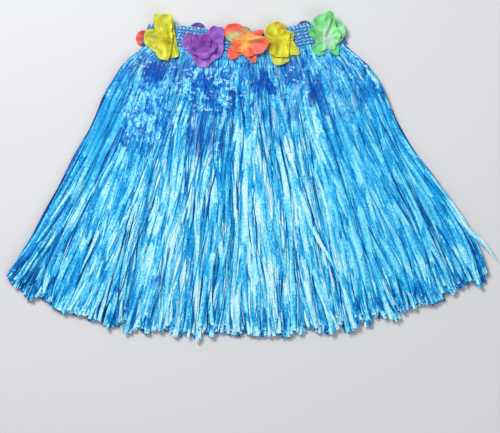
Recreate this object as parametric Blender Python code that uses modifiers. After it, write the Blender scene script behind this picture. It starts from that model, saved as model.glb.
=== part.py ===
"""A child's hula grass skirt lying flat on the floor.

A gathered elastic waistband carries four rows of raffia locks and a ring of silk flowers.
All sizes are in metres. X runs across the skirt, Y from the hem to the waist, Z up.
The drawing frame has its zero at the middle of the waistband's lower edge, on the floor.
The last step moves the whole skirt so that the middle of its box stands on the origin.
"""

import math
import random
from collections import namedtuple

import bmesh
import bpy
from mathutils import Vector

# What lies between two pieces that touch
SEAM_GAP = 0.0003

# The waistband, a loop of gathered elastic whose front panel lies on its back panel
WAIST_MIDDLE = -0.003
WAIST_HALF_TOP = 0.1235
WAIST_HALF_LOW = 0.133
BAND_HEIGHT = 0.026
BAND_WALL = 0.0016
BAND_HOLLOW = 0.0005
BAND_THICKNESS = 2 * BAND_WALL + BAND_HOLLOW
BAND_ROWS = 3
GATHERS = 52
GATHER_DEPTH = 0.0006
TOP_SCALLOP = 0.0005
BACK_COLUMNS = 24
FOLD_COLUMNS = 3

# How far the waist edge rises from its middle towards its two ends
Rise = namedtuple("Rise", "across rise")
WAIST_RISE = (
    Rise(-1.00, 0.0090),
    Rise(-0.70, 0.0070),
    Rise(-0.35, 0.0015),
    Rise(0.00, 0.0000),
    Rise(0.32, 0.0012),
    Rise(0.66, 0.0095),
    Rise(1.00, 0.0110),
)

# The fan of strands: every strand points away from one apex above the waist
FAN_APEX = 0.260
FAN_RADIUS = 0.632
FAN_ANGLE = math.radians(29.6)

# How much longer or shorter than that radius the hem is, from its left to its right
Trim = namedtuple("Trim", "across extra")
HEM_TRIM = (
    Trim(-1.00, 0.006),
    Trim(-0.85, 0.012),
    Trim(-0.70, 0.012),
    Trim(-0.45, 0.006),
    Trim(-0.20, 0.000),
    Trim(0.00, -0.004),
    Trim(0.20, -0.003),
    Trim(0.50, 0.001),
    Trim(1.00, 0.002),
)

# How far the two outer edges bulge past the straight line from waist to hem
Bulge = namedtuple("Bulge", "along left right")
EDGE_BULGE = (
    Bulge(0.00, 0.000, 0.000),
    Bulge(0.06, 0.0165, 0.0115),
    Bulge(0.15, 0.0147, 0.0155),
    Bulge(0.40, 0.0060, 0.0085),
    Bulge(0.70, 0.0015, 0.0140),
    Bulge(1.00, 0.0020, 0.0050),
)
BULGE_SHARPNESS = 3

# The stitched heading that carries a row of locks, just below the waistband
HEADING_HEIGHT = 0.003
HEADING_GAP = 0.0004
HEADING_SPAN = 0.984
HEADING_WALL = 0.0009
HEADING_STEP = HEADING_WALL + 0.00035
HEADING_COLUMNS = 24

# The locks, each a bundle of film strips, lying in rows above each other
LOCK_WALL = 0.0015
LOCK_STEP = LOCK_WALL + 0.0004
LOCK_FILL = (0.72, 0.88)
LOCK_JITTER = 0.04
TIP_NARROWING = 0.85
SWAY = 0.005
SWAY_WAVES = 1.7
TIP_UNEVEN = 0.012

# The locks lie over the pressed flowers near the waist and reach the floor further down
LIFT_ENDS = 0.06
FLOOR_STARTS = 0.15

Row = namedtuple("Row", "name locks level stations crest seed")
FRINGE_ROWS = (
    Row("fringe_back_floor", 59, 0, (LIFT_ENDS, FLOOR_STARTS, 0.4, 1.0), 0.0, 11),
    Row("fringe_back_upper", 48, 1, (LIFT_ENDS, FLOOR_STARTS, 1.0), 0.0, 12),
    Row("fringe_front_under", 58, 2, (LIFT_ENDS, FLOOR_STARTS, 0.4, 0.7, 1.0), 0.0, 13),
    Row("fringe_front_top", 76, 3, (LIFT_ENDS, FLOOR_STARTS, 0.4, 0.7, 1.0), 0.003, 14),
)

# Locks that stray from their row near the hem, by row and number from the left
Stray = namedtuple("Stray", "sideways length fill")
STRAYS = {
    ("fringe_front_top", 0): Stray(-0.004, 0.990, 0.6),
    ("fringe_front_under", 57): Stray(0.021, 0.955, 0.5),
}
STRAYS_LEAVE = 0.7

# The flowers: each petal layer is one sheet of silk, a shallow bowl with a lobed rim
PETAL_WALL = 0.001
PETAL_RINGS = (0.32, 0.68, 1.0)
PRESSED_RINGS = (0.35, 1.0)
PRESSED_SEGMENTS = 30
PRESSED_REACH = 0.0225
NOTCH_DEPTH = 0.35
LOBE_ROUNDNESS = 0.5
BOWL_RADIUS = 0.030
BOWL_CURVE = 1.7
FOLD_DEPTH = 0.0007
FLOOR_LIFT = PETAL_WALL + SEAM_GAP
FLOWER_BASE = FLOOR_LIFT + BAND_THICKNESS + GATHER_DEPTH + 0.0006
UPPER_BASE = FLOWER_BASE + PETAL_WALL + 0.0004

# Centre on the waistband, how high the sheet rises at the bowl's radius, and its rim as
# headings in degrees from +X with the distances from the centre in millimetres
Layer = namedtuple("Layer", "name finish centre base lift rim")
Centre = namedtuple("Centre", "x y")
MM = 0.001
LOW_LIFT = 0.0045
HIGH_LIFT = 0.0095
ROSETTE_LIFT = 0.0200

YELLOW_LEFT = Centre(-0.1094, 0.0151)
PURPLE = Centre(-0.0570, 0.0085)
RAINBOW = Centre(-0.0020, 0.0124)
YELLOW_RIGHT = Centre(0.0413, 0.0138)
GREEN = Centre(0.1055, 0.0138)

FRONT_FLOWERS = (
    Layer("yellow_left_lower", "yellow", YELLOW_LEFT, FLOWER_BASE, LOW_LIFT, (
        (0, 17.5), (22, 17.5), (45, 21), (58, 27), (67, 32.5), (80, 24), (100, 20),
        (122, 15), (143, 22.5), (157, 25), (175, 24.5), (190, 24.2), (204, 22), (220, 19.8),
        (242, 19), (265, 20), (288, 23), (302, 28.5), (313, 30), (325, 25), (342, 19.5),
    )),
    Layer("yellow_left_upper", "yellow", YELLOW_LEFT, UPPER_BASE, HIGH_LIFT, (
        (5, 13), (30, 15), (52, 20), (64, 27), (72.5, 34), (90, 33.6), (107, 36), (117, 27),
        (124, 15), (148, 15), (170, 19), (195, 19), (222, 16), (240, 19), (251, 23),
        (268, 26.5), (285, 27), (297, 22), (315, 16), (340, 13),
    )),
    Layer("purple_lower", "purple", PURPLE, FLOWER_BASE, LOW_LIFT, (
        (5, 27), (20, 29), (31, 32), (39, 35), (50, 30), (63, 27), (70, 20), (95, 11),
        (126, 14), (140, 24), (158, 26.3), (173, 27.7), (187, 25.8), (206, 21.5),
        (228, 21.8), (244, 25.5), (257, 28), (270, 29.8), (283, 29.5), (296, 26),
        (314, 25.5), (330, 28.5), (345, 27.5),
    )),
    Layer("purple_upper", "violet", PURPLE, UPPER_BASE, ROSETTE_LIFT, (
        (0, 17.5), (25, 16), (50, 15.5), (72, 14), (90, 13.5), (112, 12), (135, 19),
        (150, 20), (172, 17), (190, 19), (212, 19.5), (240, 16), (262, 18), (285, 19),
        (312, 16), (338, 18),
    )),
    Layer("rainbow_lower", "coral", RAINBOW, FLOWER_BASE, LOW_LIFT, (
        (5, 20), (20, 23), (31, 28.5), (41, 23.5), (52, 15.5), (70, 14), (82, 19.5),
        (97, 20), (105, 23), (119, 27), (136, 31.5), (150, 31.5), (165, 28), (178, 19.5),
        (198, 20), (213, 27.5), (228, 30), (242, 25), (254, 18), (270, 19), (280, 23),
        (290, 29.5), (299, 30), (309, 24), (328, 21), (346, 20),
    )),
    Layer("rainbow_upper", "orange", RAINBOW, UPPER_BASE, HIGH_LIFT, (
        (5, 31), (15, 24), (32, 15), (52, 14), (70, 16), (88, 11), (120, 11), (150, 14),
        (180, 16), (202, 20), (225, 19), (250, 15), (270, 18), (290, 21), (306, 21),
        (325, 26.5), (338, 29), (351, 30.5),
    )),
    Layer("yellow_right_lower", "yellow", YELLOW_RIGHT, FLOWER_BASE, LOW_LIFT, (
        (0, 20), (26, 22.5), (40, 20), (55, 18.5), (65, 22), (74, 24), (90, 20), (120, 17),
        (150, 16.5), (180, 14), (204, 17), (222, 19), (240, 19), (248, 24.5), (257, 30),
        (270, 32.5), (285, 31.5), (298, 29.8), (309, 25), (318, 28), (326, 33), (334, 30),
        (346, 23.5),
    )),
    Layer("yellow_right_upper", "yellow", YELLOW_RIGHT, UPPER_BASE, HIGH_LIFT, (
        (0, 15), (28, 17), (52, 16.5), (74, 19), (88, 24.5), (105, 24.3), (122, 23.9),
        (139, 22), (156, 20), (170, 11), (205, 10.5), (238, 19), (262, 21.5), (285, 22.5),
        (302, 24.5), (316, 20), (338, 16),
    )),
    Layer("green_lower", "green", GREEN, FLOWER_BASE, LOW_LIFT, (
        (0, 19), (19, 24.5), (34, 28), (48, 29.8), (62, 30), (73, 26), (92, 20), (118, 20),
        (136, 23), (148, 28), (155, 27), (166, 21.5), (189, 14.8), (203, 22), (216, 24.4),
        (232, 24), (250, 21), (272, 11), (286, 14), (299, 22), (308, 24), (320, 20),
        (345, 16),
    )),
    Layer("green_upper", "green", GREEN, UPPER_BASE, HIGH_LIFT, (
        (0, 16), (20, 18.5), (42, 21), (60, 22), (69, 28), (76, 35), (85, 38.3), (95, 36.2),
        (106, 35.2), (119, 33.9), (130, 32.2), (139, 22), (162, 15), (190, 11), (215, 17),
        (245, 15), (272, 9), (300, 15), (335, 13),
    )),
)

# The flowers under the back panel, pressed flat, each with one petal past the waistband
Pressed = namedtuple("Pressed", "name finish centre heading reach")
PRESSED_FLOWERS = (
    Pressed("back_red", "red", Centre(-0.1160, 0.0163), 178, 0.0290),
    Pressed("back_purple_left", "purple", Centre(-0.0640, 0.0095), 90, 0.0285),
    Pressed("back_green", "green", Centre(-0.0030, 0.0055), 92, 0.0275),
    Pressed("back_purple_right", "purple", Centre(0.0755, 0.0124), 88, 0.0280),
)

# Base colour, roughness and metallic value of each finish
Finish = namedtuple("Finish", "colour roughness metallic")
FINISHES = {
    "raffia_light": Finish((0.16, 0.58, 0.85), 0.28, 0.0),
    "raffia_deep": Finish((0.05, 0.33, 0.74), 0.30, 0.0),
    "elastic": Finish((0.17, 0.47, 0.72), 0.50, 0.0),
    "yellow": Finish((0.68, 0.62, 0.04), 0.70, 0.0),
    "purple": Finish((0.30, 0.14, 0.50), 0.70, 0.0),
    "violet": Finish((0.26, 0.09, 0.40), 0.70, 0.0),
    "coral": Finish((0.90, 0.14, 0.10), 0.70, 0.0),
    "orange": Finish((0.85, 0.32, 0.09), 0.70, 0.0),
    "green": Finish((0.17, 0.62, 0.25), 0.70, 0.0),
    "red": Finish((0.68, 0.08, 0.05), 0.70, 0.0),
}


def clamped(value):
    return min(max(value, 0.0), 1.0)


def eased(share):
    """A share from 0 to 1 that starts and ends gently."""
    share = clamped(share)
    return share * share * (3 - 2 * share)


def read_table(rows, column, at):
    """The named column at a place between the rows, on a smooth curve through them."""
    places = [row[0] for row in rows]
    values = [getattr(row, column) for row in rows]
    last = len(rows) - 1
    at = min(max(at, places[0]), places[last])
    k = max(i for i in range(last) if places[i] <= at)
    width = places[k + 1] - places[k]

    def slope(i):
        low = max(i - 1, 0)
        high = min(i + 1, last)
        return (values[high] - values[low]) / (places[high] - places[low])

    t = (at - places[k]) / width
    rest = 1 - t
    ends = values[k] * (1 + 2 * t) * rest**2 + values[k + 1] * (3 - 2 * t) * t**2
    turns = slope(k) * t * rest**2 - slope(k + 1) * t**2 * rest
    return ends + turns * width


def fan_point(across, along):
    """The place in plan of a strand: across from -1 to 1, along from 0 at its root to 1."""
    at_waist = HEADING_SPAN * across
    rise = read_table(WAIST_RISE, "rise", at_waist)
    root_x = WAIST_MIDDLE + WAIST_HALF_LOW * at_waist
    root = Vector((root_x, rise - HEADING_GAP - HEADING_HEIGHT))
    angle = FAN_ANGLE * across
    radius = FAN_RADIUS + read_table(HEM_TRIM, "extra", across)
    hem = Vector((radius * math.sin(angle), FAN_APEX - radius * math.cos(angle)))
    side = "right" if across > 0 else "left"
    bulge = read_table(EDGE_BULGE, side, along) * abs(across) ** BULGE_SHARPNESS
    place = root.lerp(hem, along)
    place.x += math.copysign(bulge, across)
    sway = SWAY * (1 - across**2) * along**1.5
    place.x += sway * math.sin(math.tau * (SWAY_WAVES * across + along))
    return place


def layer_height(level, along):
    """Height of the underside of a row of locks, from its heading to the hem."""
    at_heading = FLOOR_LIFT + HEADING_STEP * level
    in_the_open = LOCK_STEP * level
    share = clamped((along - LIFT_ENDS) / (FLOOR_STARTS - LIFT_ENDS))
    return at_heading + (in_the_open - at_heading) * share


def wall_height(along):
    share = clamped((along - LIFT_ENDS) / (FLOOR_STARTS - LIFT_ENDS))
    return HEADING_WALL + (LOCK_WALL - HEADING_WALL) * share


def finish_of(name):
    """The material of a finish, made once."""
    made = bpy.data.materials.get(name)
    if made:
        return made
    finish = FINISHES[name]
    material = bpy.data.materials.new(name)
    material.use_nodes = True
    shader = material.node_tree.nodes["Principled BSDF"]
    shader.inputs["Base Color"].default_value = (*finish.colour, 1.0)
    shader.inputs["Roughness"].default_value = finish.roughness
    shader.inputs["Metallic"].default_value = finish.metallic
    return material


def add_piece(bm, name, finish, collection, parent):
    """Turns a bmesh into a named object of the skirt."""
    mesh = bpy.data.meshes.new(name)
    bm.to_mesh(mesh)
    bm.free()
    mesh.materials.append(finish_of(finish))
    piece = bpy.data.objects.new(name, mesh)
    collection.objects.link(piece)
    piece.parent = parent
    return piece


def drawn_rings(segments, rings, capped):
    """A ring of points drawn out into more rings. Each point keeps its column and ring."""
    bm = bmesh.new()
    column = bm.verts.layers.int.new("column")
    ring = bm.verts.layers.int.new("ring")
    bmesh.ops.create_circle(bm, cap_ends=capped, cap_tris=capped, segments=segments, radius=1)
    for vert in bm.verts:
        turn = math.atan2(vert.co.y, vert.co.x) / math.tau % 1
        vert[column] = round(turn * segments) % segments
        vert[ring] = 1 if vert.co.length > 0.5 else 0
    edges = [edge for edge in bm.edges if all(vert[ring] == 1 for vert in edge.verts)]
    for number in range(2, rings + 1):
        drawn = bmesh.ops.extrude_edge_only(bm, edges=edges)["geom"]
        edges = [part for part in drawn if isinstance(part, bmesh.types.BMEdge)]
        edges = [edge for edge in edges if edge.is_boundary]
        for vert in {vert for edge in edges for vert in edge.verts}:
            vert[ring] = number
    return bm, column, ring


def band_columns():
    """The flattened loop seen from its edge: share across, sideways offset and height."""
    draw = random.Random(7)
    fold = BAND_THICKNESS / 2
    middle = FLOOR_LIFT + fold
    columns = []
    for i in range(2 * GATHERS + 1):
        ridge = GATHER_DEPTH * draw.uniform(0.6, 1.0) if i % 2 else 0.0
        columns.append((i / GATHERS - 1, 0.0, middle + fold + ridge))
    turns = [math.pi * (0.5 - (k + 1) / (FOLD_COLUMNS + 1)) for k in range(FOLD_COLUMNS)]
    for turn in turns:
        columns.append((1.0, fold * math.cos(turn), middle + fold * math.sin(turn)))
    for i in range(BACK_COLUMNS + 1):
        columns.append((1 - 2 * i / BACK_COLUMNS, 0.0, FLOOR_LIFT))
    for turn in reversed(turns):
        columns.append((-1.0, -fold * math.cos(turn), middle + fold * math.sin(turn)))
    return columns


def make_waistband(collection, parent):
    """The gathered loop: its outer surface, with a wall of elastic inside it."""
    columns = band_columns()
    bm, column, ring = drawn_rings(len(columns), BAND_ROWS, capped=False)
    for vert in bm.verts:
        across, sideways, height = columns[vert[column]]
        share = (vert[ring] - 1) / (BAND_ROWS - 1)
        half = WAIST_HALF_LOW + (WAIST_HALF_TOP - WAIST_HALF_LOW) * share
        rise = read_table(WAIST_RISE, "rise", across) + BAND_HEIGHT * share
        if share == 1 and vert[column] % 2:
            rise += TOP_SCALLOP
        vert.co = (WAIST_MIDDLE + half * across + sideways, rise, height)
    bmesh.ops.recalc_face_normals(bm, faces=bm.faces)
    band = add_piece(bm, "waistband", "elastic", collection, parent)
    wall = band.modifiers.new("wall", "SOLIDIFY")
    wall.thickness = BAND_WALL
    wall.offset = -1


def heading_outline(bm, row, halves):
    """One flat face: the narrow heading, with a root on its lower edge for each lock."""
    lock = bm.verts.layers.int.new("lock")
    height = layer_height(row.level, 0)
    loop = []
    for i in range(HEADING_COLUMNS + 1):
        across = 2 * i / HEADING_COLUMNS - 1
        x, y = fan_point(across, 0)
        loop.append(bm.verts.new((x, y + HEADING_HEIGHT, height)))
    for i in reversed(range(row.locks)):
        centre = (2 * i + 1) / row.locks - 1
        for side in (1, -1):
            x, y = fan_point(centre + side * halves[i], 0)
            corner = bm.verts.new((x, y, height))
            corner[lock] = i + 1
            loop.append(corner)
    for near, far in zip(loop, loop[1:] + loop[:1]):
        bm.edges.new((near, far))
    bmesh.ops.edgenet_fill(bm, edges=bm.edges)
    return lock


def lock_section(row, number, half, along, jitter, crest, stray):
    """The four corners of a lock at one station, keyed by side and by under or over."""
    centre = (2 * number + 1) / row.locks - 1
    reach = along
    if stray:
        reach = along * stray.length
    middle = fan_point(centre, reach)
    middle.x += jitter * 2 / row.locks * WAIST_HALF_LOW * along
    ahead = fan_point(centre, reach + 0.01) - fan_point(centre, reach - 0.01)
    beside = Vector((ahead.y, -ahead.x)).normalized()
    if beside.x < 0:
        beside.negate()
    pitch = (fan_point(centre + half, reach) - fan_point(centre - half, reach)).length
    width = pitch * (TIP_NARROWING if along > 0.95 else 1.0) / 2
    if stray:
        leaving = eased((along - STRAYS_LEAVE) / (1 - STRAYS_LEAVE))
        middle += beside * stray.sideways * leaving
        width *= 1 - (1 - stray.fill) * leaving
    under = layer_height(row.level, along) + crest
    over = under + wall_height(along)
    corners = {}
    for side in (1, -1):
        edge = middle + beside * width * side
        corners[side, False] = Vector((edge.x, edge.y, under))
        corners[side, True] = Vector((edge.x, edge.y, over))
    return corners


def make_fringe_row(row, collection, parent):
    """A heading with its locks, each drawn out of the heading from station to station."""
    draw = random.Random(row.seed)
    halves = [draw.uniform(*LOCK_FILL) / row.locks for _ in range(row.locks)]
    bm = bmesh.new()
    lock = heading_outline(bm, row, halves)
    drawn = bmesh.ops.extrude_face_region(bm, geom=list(bm.faces))["geom"]
    top = [part for part in drawn if isinstance(part, bmesh.types.BMVert)]
    bmesh.ops.translate(bm, verts=top, vec=(0, 0, HEADING_WALL))
    roots = {}
    for face in bm.faces:
        owners = {vert[lock] for vert in face.verts}
        if len(face.verts) == 4 and len(owners) == 1 and owners != {0}:
            roots[owners.pop() - 1] = face
    middle_height = layer_height(row.level, 0) + HEADING_WALL / 2
    for number, root in sorted(roots.items()):
        stray = STRAYS.get((row.name, number))
        trim = 1 + draw.uniform(-TIP_UNEVEN, TIP_UNEVEN)
        jitter = draw.uniform(-LOCK_JITTER, LOCK_JITTER)
        centre = fan_point((2 * number + 1) / row.locks - 1, 0)
        keys = [
            (1 if corner.co.x > centre.x else -1, corner.co.z > middle_height)
            for corner in root.verts
        ]
        face = root
        for along in row.stations:
            crest = row.crest * draw.random() if along >= 0.4 else 0.0
            at = along * trim if along == 1.0 else along
            corners = lock_section(row, number, halves[number], at, jitter, crest, stray)
            face = bmesh.ops.extrude_discrete_faces(bm, faces=[face])["faces"][0]
            for vert, key in zip(face.verts, keys):
                vert.co = corners[key]
    bmesh.ops.recalc_face_normals(bm, faces=bm.faces)
    finish = "raffia_light" if row.level % 2 else "raffia_deep"
    add_piece(bm, row.name, finish, collection, parent)


def make_sheet(name, finish, rings, place, columns, collection, parent):
    """A lobed sheet from its centre to its rim, with a wall of silk above it."""
    bm, column, ring = drawn_rings(columns, len(rings), capped=True)
    shares = (0.0, *rings)
    for vert in bm.verts:
        vert.co = place(vert[column], shares[vert[ring]])
    bm.normal_update()
    if sum(face.normal.z for face in bm.faces) < 0:
        bmesh.ops.reverse_faces(bm, faces=bm.faces)
    sheet = add_piece(bm, name, finish, collection, parent)
    wall = sheet.modifiers.new("wall", "SOLIDIFY")
    wall.thickness = PETAL_WALL
    wall.offset = 1


def make_petals(layer, collection, parent):
    """One open petal layer. Its sheet rises from the centre and is softly folded."""

    def place(column, share):
        heading, reach = layer.rim[column]
        angle = math.radians(heading)
        out = reach * MM * share
        lift = layer.lift * (out / BOWL_RADIUS) ** BOWL_CURVE
        fold = FOLD_DEPTH * math.sin(3 * angle) * (out / BOWL_RADIUS) ** 2
        x = layer.centre.x + out * math.cos(angle)
        y = layer.centre.y + out * math.sin(angle)
        return Vector((x, y, layer.base + lift + fold))

    columns = len(layer.rim)
    make_sheet(layer.name, layer.finish, PETAL_RINGS, place, columns, collection, parent)


def make_pressed(flower, collection, parent):
    """One flower pressed flat on the floor: five broad petals, one of them longer."""

    def place(column, share):
        turn = 5 * column / PRESSED_SEGMENTS
        petal = round(turn) % 5
        lobe = max(math.cos(math.pi * (turn - round(turn))), 0.0) ** LOBE_ROUNDNESS
        full = flower.reach if petal == 0 else PRESSED_REACH
        notch = PRESSED_REACH * (1 - NOTCH_DEPTH)
        out = share * (notch + (full - notch) * lobe)
        angle = math.radians(flower.heading + 72 * turn)
        x = flower.centre.x + out * math.cos(angle)
        y = flower.centre.y + out * math.sin(angle)
        return Vector((x, y, 0.0))

    columns = PRESSED_SEGMENTS
    make_sheet(flower.name, flower.finish, PRESSED_RINGS, place, columns, collection, parent)


def stand_on_origin(collection, frame):
    """Moves the skirt's frame so that the middle of its box stands on the origin."""
    bpy.context.view_layer.update()
    graph = bpy.context.evaluated_depsgraph_get()
    corners = [
        Vector(corner)
        for piece in collection.objects
        if piece.type == "MESH"
        for corner in piece.evaluated_get(graph).bound_box
    ]
    for axis in (0, 1):
        low = min(corner[axis] for corner in corners)
        high = max(corner[axis] for corner in corners)
        frame.location[axis] = -(low + high) / 2


def main():
    for old in list(bpy.data.objects):
        bpy.data.objects.remove(old)
    collection = bpy.data.collections.new("grass_skirt")
    bpy.context.scene.collection.children.link(collection)
    frame = bpy.data.objects.new("skirt_frame", None)
    collection.objects.link(frame)
    make_waistband(collection, frame)
    for row in FRINGE_ROWS:
        make_fringe_row(row, collection, frame)
    for layer in FRONT_FLOWERS:
        make_petals(layer, collection, frame)
    for flower in PRESSED_FLOWERS:
        make_pressed(flower, collection, frame)
    stand_on_origin(collection, frame)


main()
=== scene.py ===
# %% [markdown]
# # A child's grass skirt, laid flat
# The skirt is a gathered elastic waistband, four rows of shiny raffia film and a ring of silk
# flowers. Its solids already exist at their real size, so this lesson dresses them: every
# solid is replaced by a finer piece of the same form, and gets the finish of the real thing.
# We start by loading those solids, with a helper that reads a solid's box.

import functools
import math
from collections import namedtuple

import bmesh
import bpy
import numpy as np
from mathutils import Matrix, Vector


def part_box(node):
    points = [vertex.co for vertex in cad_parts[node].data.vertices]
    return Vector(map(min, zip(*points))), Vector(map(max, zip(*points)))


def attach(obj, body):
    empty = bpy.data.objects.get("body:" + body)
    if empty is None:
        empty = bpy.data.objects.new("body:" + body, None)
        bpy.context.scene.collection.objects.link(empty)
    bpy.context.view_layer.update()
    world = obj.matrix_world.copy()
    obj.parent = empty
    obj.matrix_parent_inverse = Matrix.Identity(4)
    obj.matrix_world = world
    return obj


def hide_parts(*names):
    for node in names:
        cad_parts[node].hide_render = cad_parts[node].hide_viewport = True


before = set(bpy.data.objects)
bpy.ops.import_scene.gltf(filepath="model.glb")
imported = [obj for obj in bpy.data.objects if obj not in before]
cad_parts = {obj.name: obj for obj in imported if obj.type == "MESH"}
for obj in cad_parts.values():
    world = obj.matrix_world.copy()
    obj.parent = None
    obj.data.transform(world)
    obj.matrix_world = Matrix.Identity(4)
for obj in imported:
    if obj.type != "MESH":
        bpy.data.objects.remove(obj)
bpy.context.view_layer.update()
MM = 0.001

# %% [markdown]
# ## The drawing
# The skirt is drawn in its own frame: zero is the middle of the waistband's lower edge, X runs
# across, Y from the hem to the waist and Z up. Slow changes, such as the rise of the waist
# edge, are short tables that a smooth curve joins. The curve is written for whole arrays at
# once, because thousands of points on the strands ask for it.

# %% The waistband's and the fan's sizes, in metres
WAIST_MIDDLE = -0.003
WAIST_HALF_TOP = 0.1235
WAIST_HALF_LOW = 0.133
BAND_HEIGHT = 0.026
BAND_THICKNESS = 0.0037
GATHERS = 52
FLOOR_LIFT = 0.0013

FAN_APEX = 0.260
FAN_RADIUS = 0.632
FAN_ANGLE = math.radians(29.6)
BULGE_SHARPNESS = 3
HEADING_HEIGHT = 0.003
HEADING_GAP = 0.0004
HEADING_SPAN = 0.984
HEADING_STEP = 0.00125
LOCK_STEP = 0.0019
LIFT_ENDS = 0.06
FLOOR_STARTS = 0.15
STRAND_LENGTH = 0.42


def table(columns, *rows):
    """A short table whose values go by their columns' names."""
    kind = namedtuple("Row", columns)
    return [kind(*row) for row in rows]


WAIST_RISE = table(
    "across rise",
    (-1.00, 0.0090), (-0.70, 0.0070), (-0.35, 0.0015), (0.00, 0.0000), (0.32, 0.0012),
    (0.66, 0.0095), (1.00, 0.0110),
)
HEM_TRIM = table(
    "across extra",
    (-1.00, 0.006), (-0.85, 0.012), (-0.70, 0.012), (-0.45, 0.006), (-0.20, 0.000),
    (0.00, -0.004), (0.20, -0.003), (0.50, 0.001), (1.00, 0.002),
)
EDGE_BULGE = table(
    "along left right",
    (0.00, 0.000, 0.000), (0.06, 0.0125, 0.0115), (0.15, 0.0132, 0.0155), (0.40, 0.0060, 0.0085),
    (0.70, 0.0015, 0.0140), (0.85, 0.0015, 0.0138), (1.00, 0.0020, 0.0050),
)
print("the hem runs", round(2 * FAN_RADIUS * math.sin(FAN_ANGLE), 3), "m across")

# %% Read a table on a smooth curve
def read_table(rows, column, at):
    """The named column at one place or many, on a smooth curve through the rows."""
    places = np.array([row[0] for row in rows])
    values = np.array([getattr(row, column) for row in rows])
    slopes = np.gradient(values, places)
    at = np.clip(at, places[0], places[-1])
    k = np.clip(np.searchsorted(places, at, side="right") - 1, 0, len(rows) - 2)
    width = places[k + 1] - places[k]
    t = (at - places[k]) / width
    rest = 1 - t
    ends = values[k] * (1 + 2 * t) * rest**2 + values[k + 1] * (3 - 2 * t) * t**2
    return ends + (slopes[k] * t * rest**2 - slopes[k + 1] * t**2 * rest) * width


def eased(value, start=0, end=1):
    """How far a value is from start to end, from 0 to 1, starting and ending gently."""
    share = np.clip((value - start) / (end - start), 0.0, 1.0)
    return share * share * (3 - 2 * share)


def between(first, second, share):
    return first + (second - first) * share


# %% Where a strand lies in the fan
def fan_places(across, along):
    """X and Y of points on the fan: across from -1 to 1, along from 0 at the root to 1."""
    at_waist = HEADING_SPAN * across
    root_x = WAIST_MIDDLE + WAIST_HALF_LOW * at_waist
    root_y = read_table(WAIST_RISE, "rise", at_waist) - HEADING_GAP - HEADING_HEIGHT
    radius = FAN_RADIUS + read_table(HEM_TRIM, "extra", across)
    hem_x = radius * np.sin(FAN_ANGLE * across)
    hem_y = FAN_APEX - radius * np.cos(FAN_ANGLE * across)
    left = read_table(EDGE_BULGE, "left", along)
    right = read_table(EDGE_BULGE, "right", along)
    bulge = np.where(across > 0, right, left) * np.abs(across) ** BULGE_SHARPNESS
    x = between(root_x, hem_x, along) + np.sign(across) * bulge
    return x, between(root_y, hem_y, along)


def layer_height(level, along):
    """Height of the underside of a row of strands, from its heading to the hem."""
    at_heading = FLOOR_LIFT + HEADING_STEP * level
    in_the_open = LOCK_STEP * level
    share = np.clip((along - LIFT_ENDS) / (FLOOR_STARTS - LIFT_ENDS), 0.0, 1.0)
    return between(at_heading, in_the_open, share)


band_low, band_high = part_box("waistband")
gather_places = np.linspace(-1.0, 1.0, 2 * GATHERS + 1)
SHIFT_X = (band_low.x + band_high.x) / 2 - WAIST_MIDDLE
SHIFT_Y = band_low.y - read_table(WAIST_RISE, "rise", gather_places).min()
print(f"the drawing's zero stands at {SHIFT_X:.4f}, {SHIFT_Y:.4f}")

# %% [markdown]
# ## Camera, light and floor
# The photograph looks straight down. A long lens four metres above the skirt keeps the fan
# undistorted. One large soft lamp from the waist's left gives the film its sheen, a second
# fills the shadows, and a pale floor carries the skirt.

# %% Place the camera over the photograph's middle
VIEW_MIDDLE_X = 0.0046
VIEW_MIDDLE_Y = -0.2162
VIEW_WIDTH = 0.655
CAMERA_HEIGHT = 4.0
SENSOR = 36.0

scene = bpy.context.scene


def add_object(name, data):
    """An object in the scene, at its zero."""
    added = bpy.data.objects.new(name, data)
    scene.collection.objects.link(added)
    return added


camera_data = bpy.data.cameras.new("camera")
camera_data.sensor_width = SENSOR
camera_data.lens = SENSOR * CAMERA_HEIGHT / VIEW_WIDTH
camera = add_object("camera", camera_data)
camera.location = (VIEW_MIDDLE_X + SHIFT_X, VIEW_MIDDLE_Y + SHIFT_Y, CAMERA_HEIGHT)
scene.camera = camera
scene.view_settings.view_transform = "Standard"
print("the camera looks down at", [round(place, 4) for place in camera.location[:2]])

# %% Hang two soft lamps and lay a pale floor
LAMPS = table(
    "name place size watts",
    ("key_lamp", (-0.65, 0.85, 1.55), 0.6, 27.5),
    ("fill_lamp", (0.90, -0.70, 1.50), 1.6, 7.0),
)
WORLD_COLOUR = (0.95, 0.97, 1.0, 1.0)
WORLD_STRENGTH = 0.30
FLOOR_HALF = 3.0
FLOOR_DROP = 0.0002


def mesh_from(name, bm):
    """What was modelled, kept as a mesh."""
    mesh = bpy.data.meshes.new(name)
    bm.to_mesh(mesh)
    bm.free()
    return mesh


for lamp in LAMPS:
    data = bpy.data.lights.new(lamp.name, "AREA")
    data.size = lamp.size
    data.energy = lamp.watts
    hung = add_object(lamp.name, data)
    hung.location = lamp.place
    hung.rotation_euler = hung.location.to_track_quat("Z", "Y").to_euler()

world = bpy.data.worlds.new("soft_room")
world.use_nodes = True
sky = world.node_tree.nodes["Background"]
sky.inputs["Color"].default_value = WORLD_COLOUR
sky.inputs["Strength"].default_value = WORLD_STRENGTH
scene.world = world

bm = bmesh.new()
bmesh.ops.create_grid(bm, x_segments=1, y_segments=1, size=FLOOR_HALF)
bmesh.ops.translate(bm, verts=bm.verts, vec=(0, 0, -FLOOR_DROP))
floor_mesh = mesh_from("floor", bm)
floor = add_object("floor", floor_mesh)
print(len(LAMPS), "lamps and a floor")

# %% [markdown]
# ## Tools for finishes
# Each finish is a small graph of shader nodes. One helper adds a node with its settings and
# inputs, and short ones on top of it do sums, soft steps, patterns and blends, so that a graph
# reads like a recipe. Colours are written as a painter reads them off a screen, from 0 to 255,
# and turned into light once.

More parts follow.
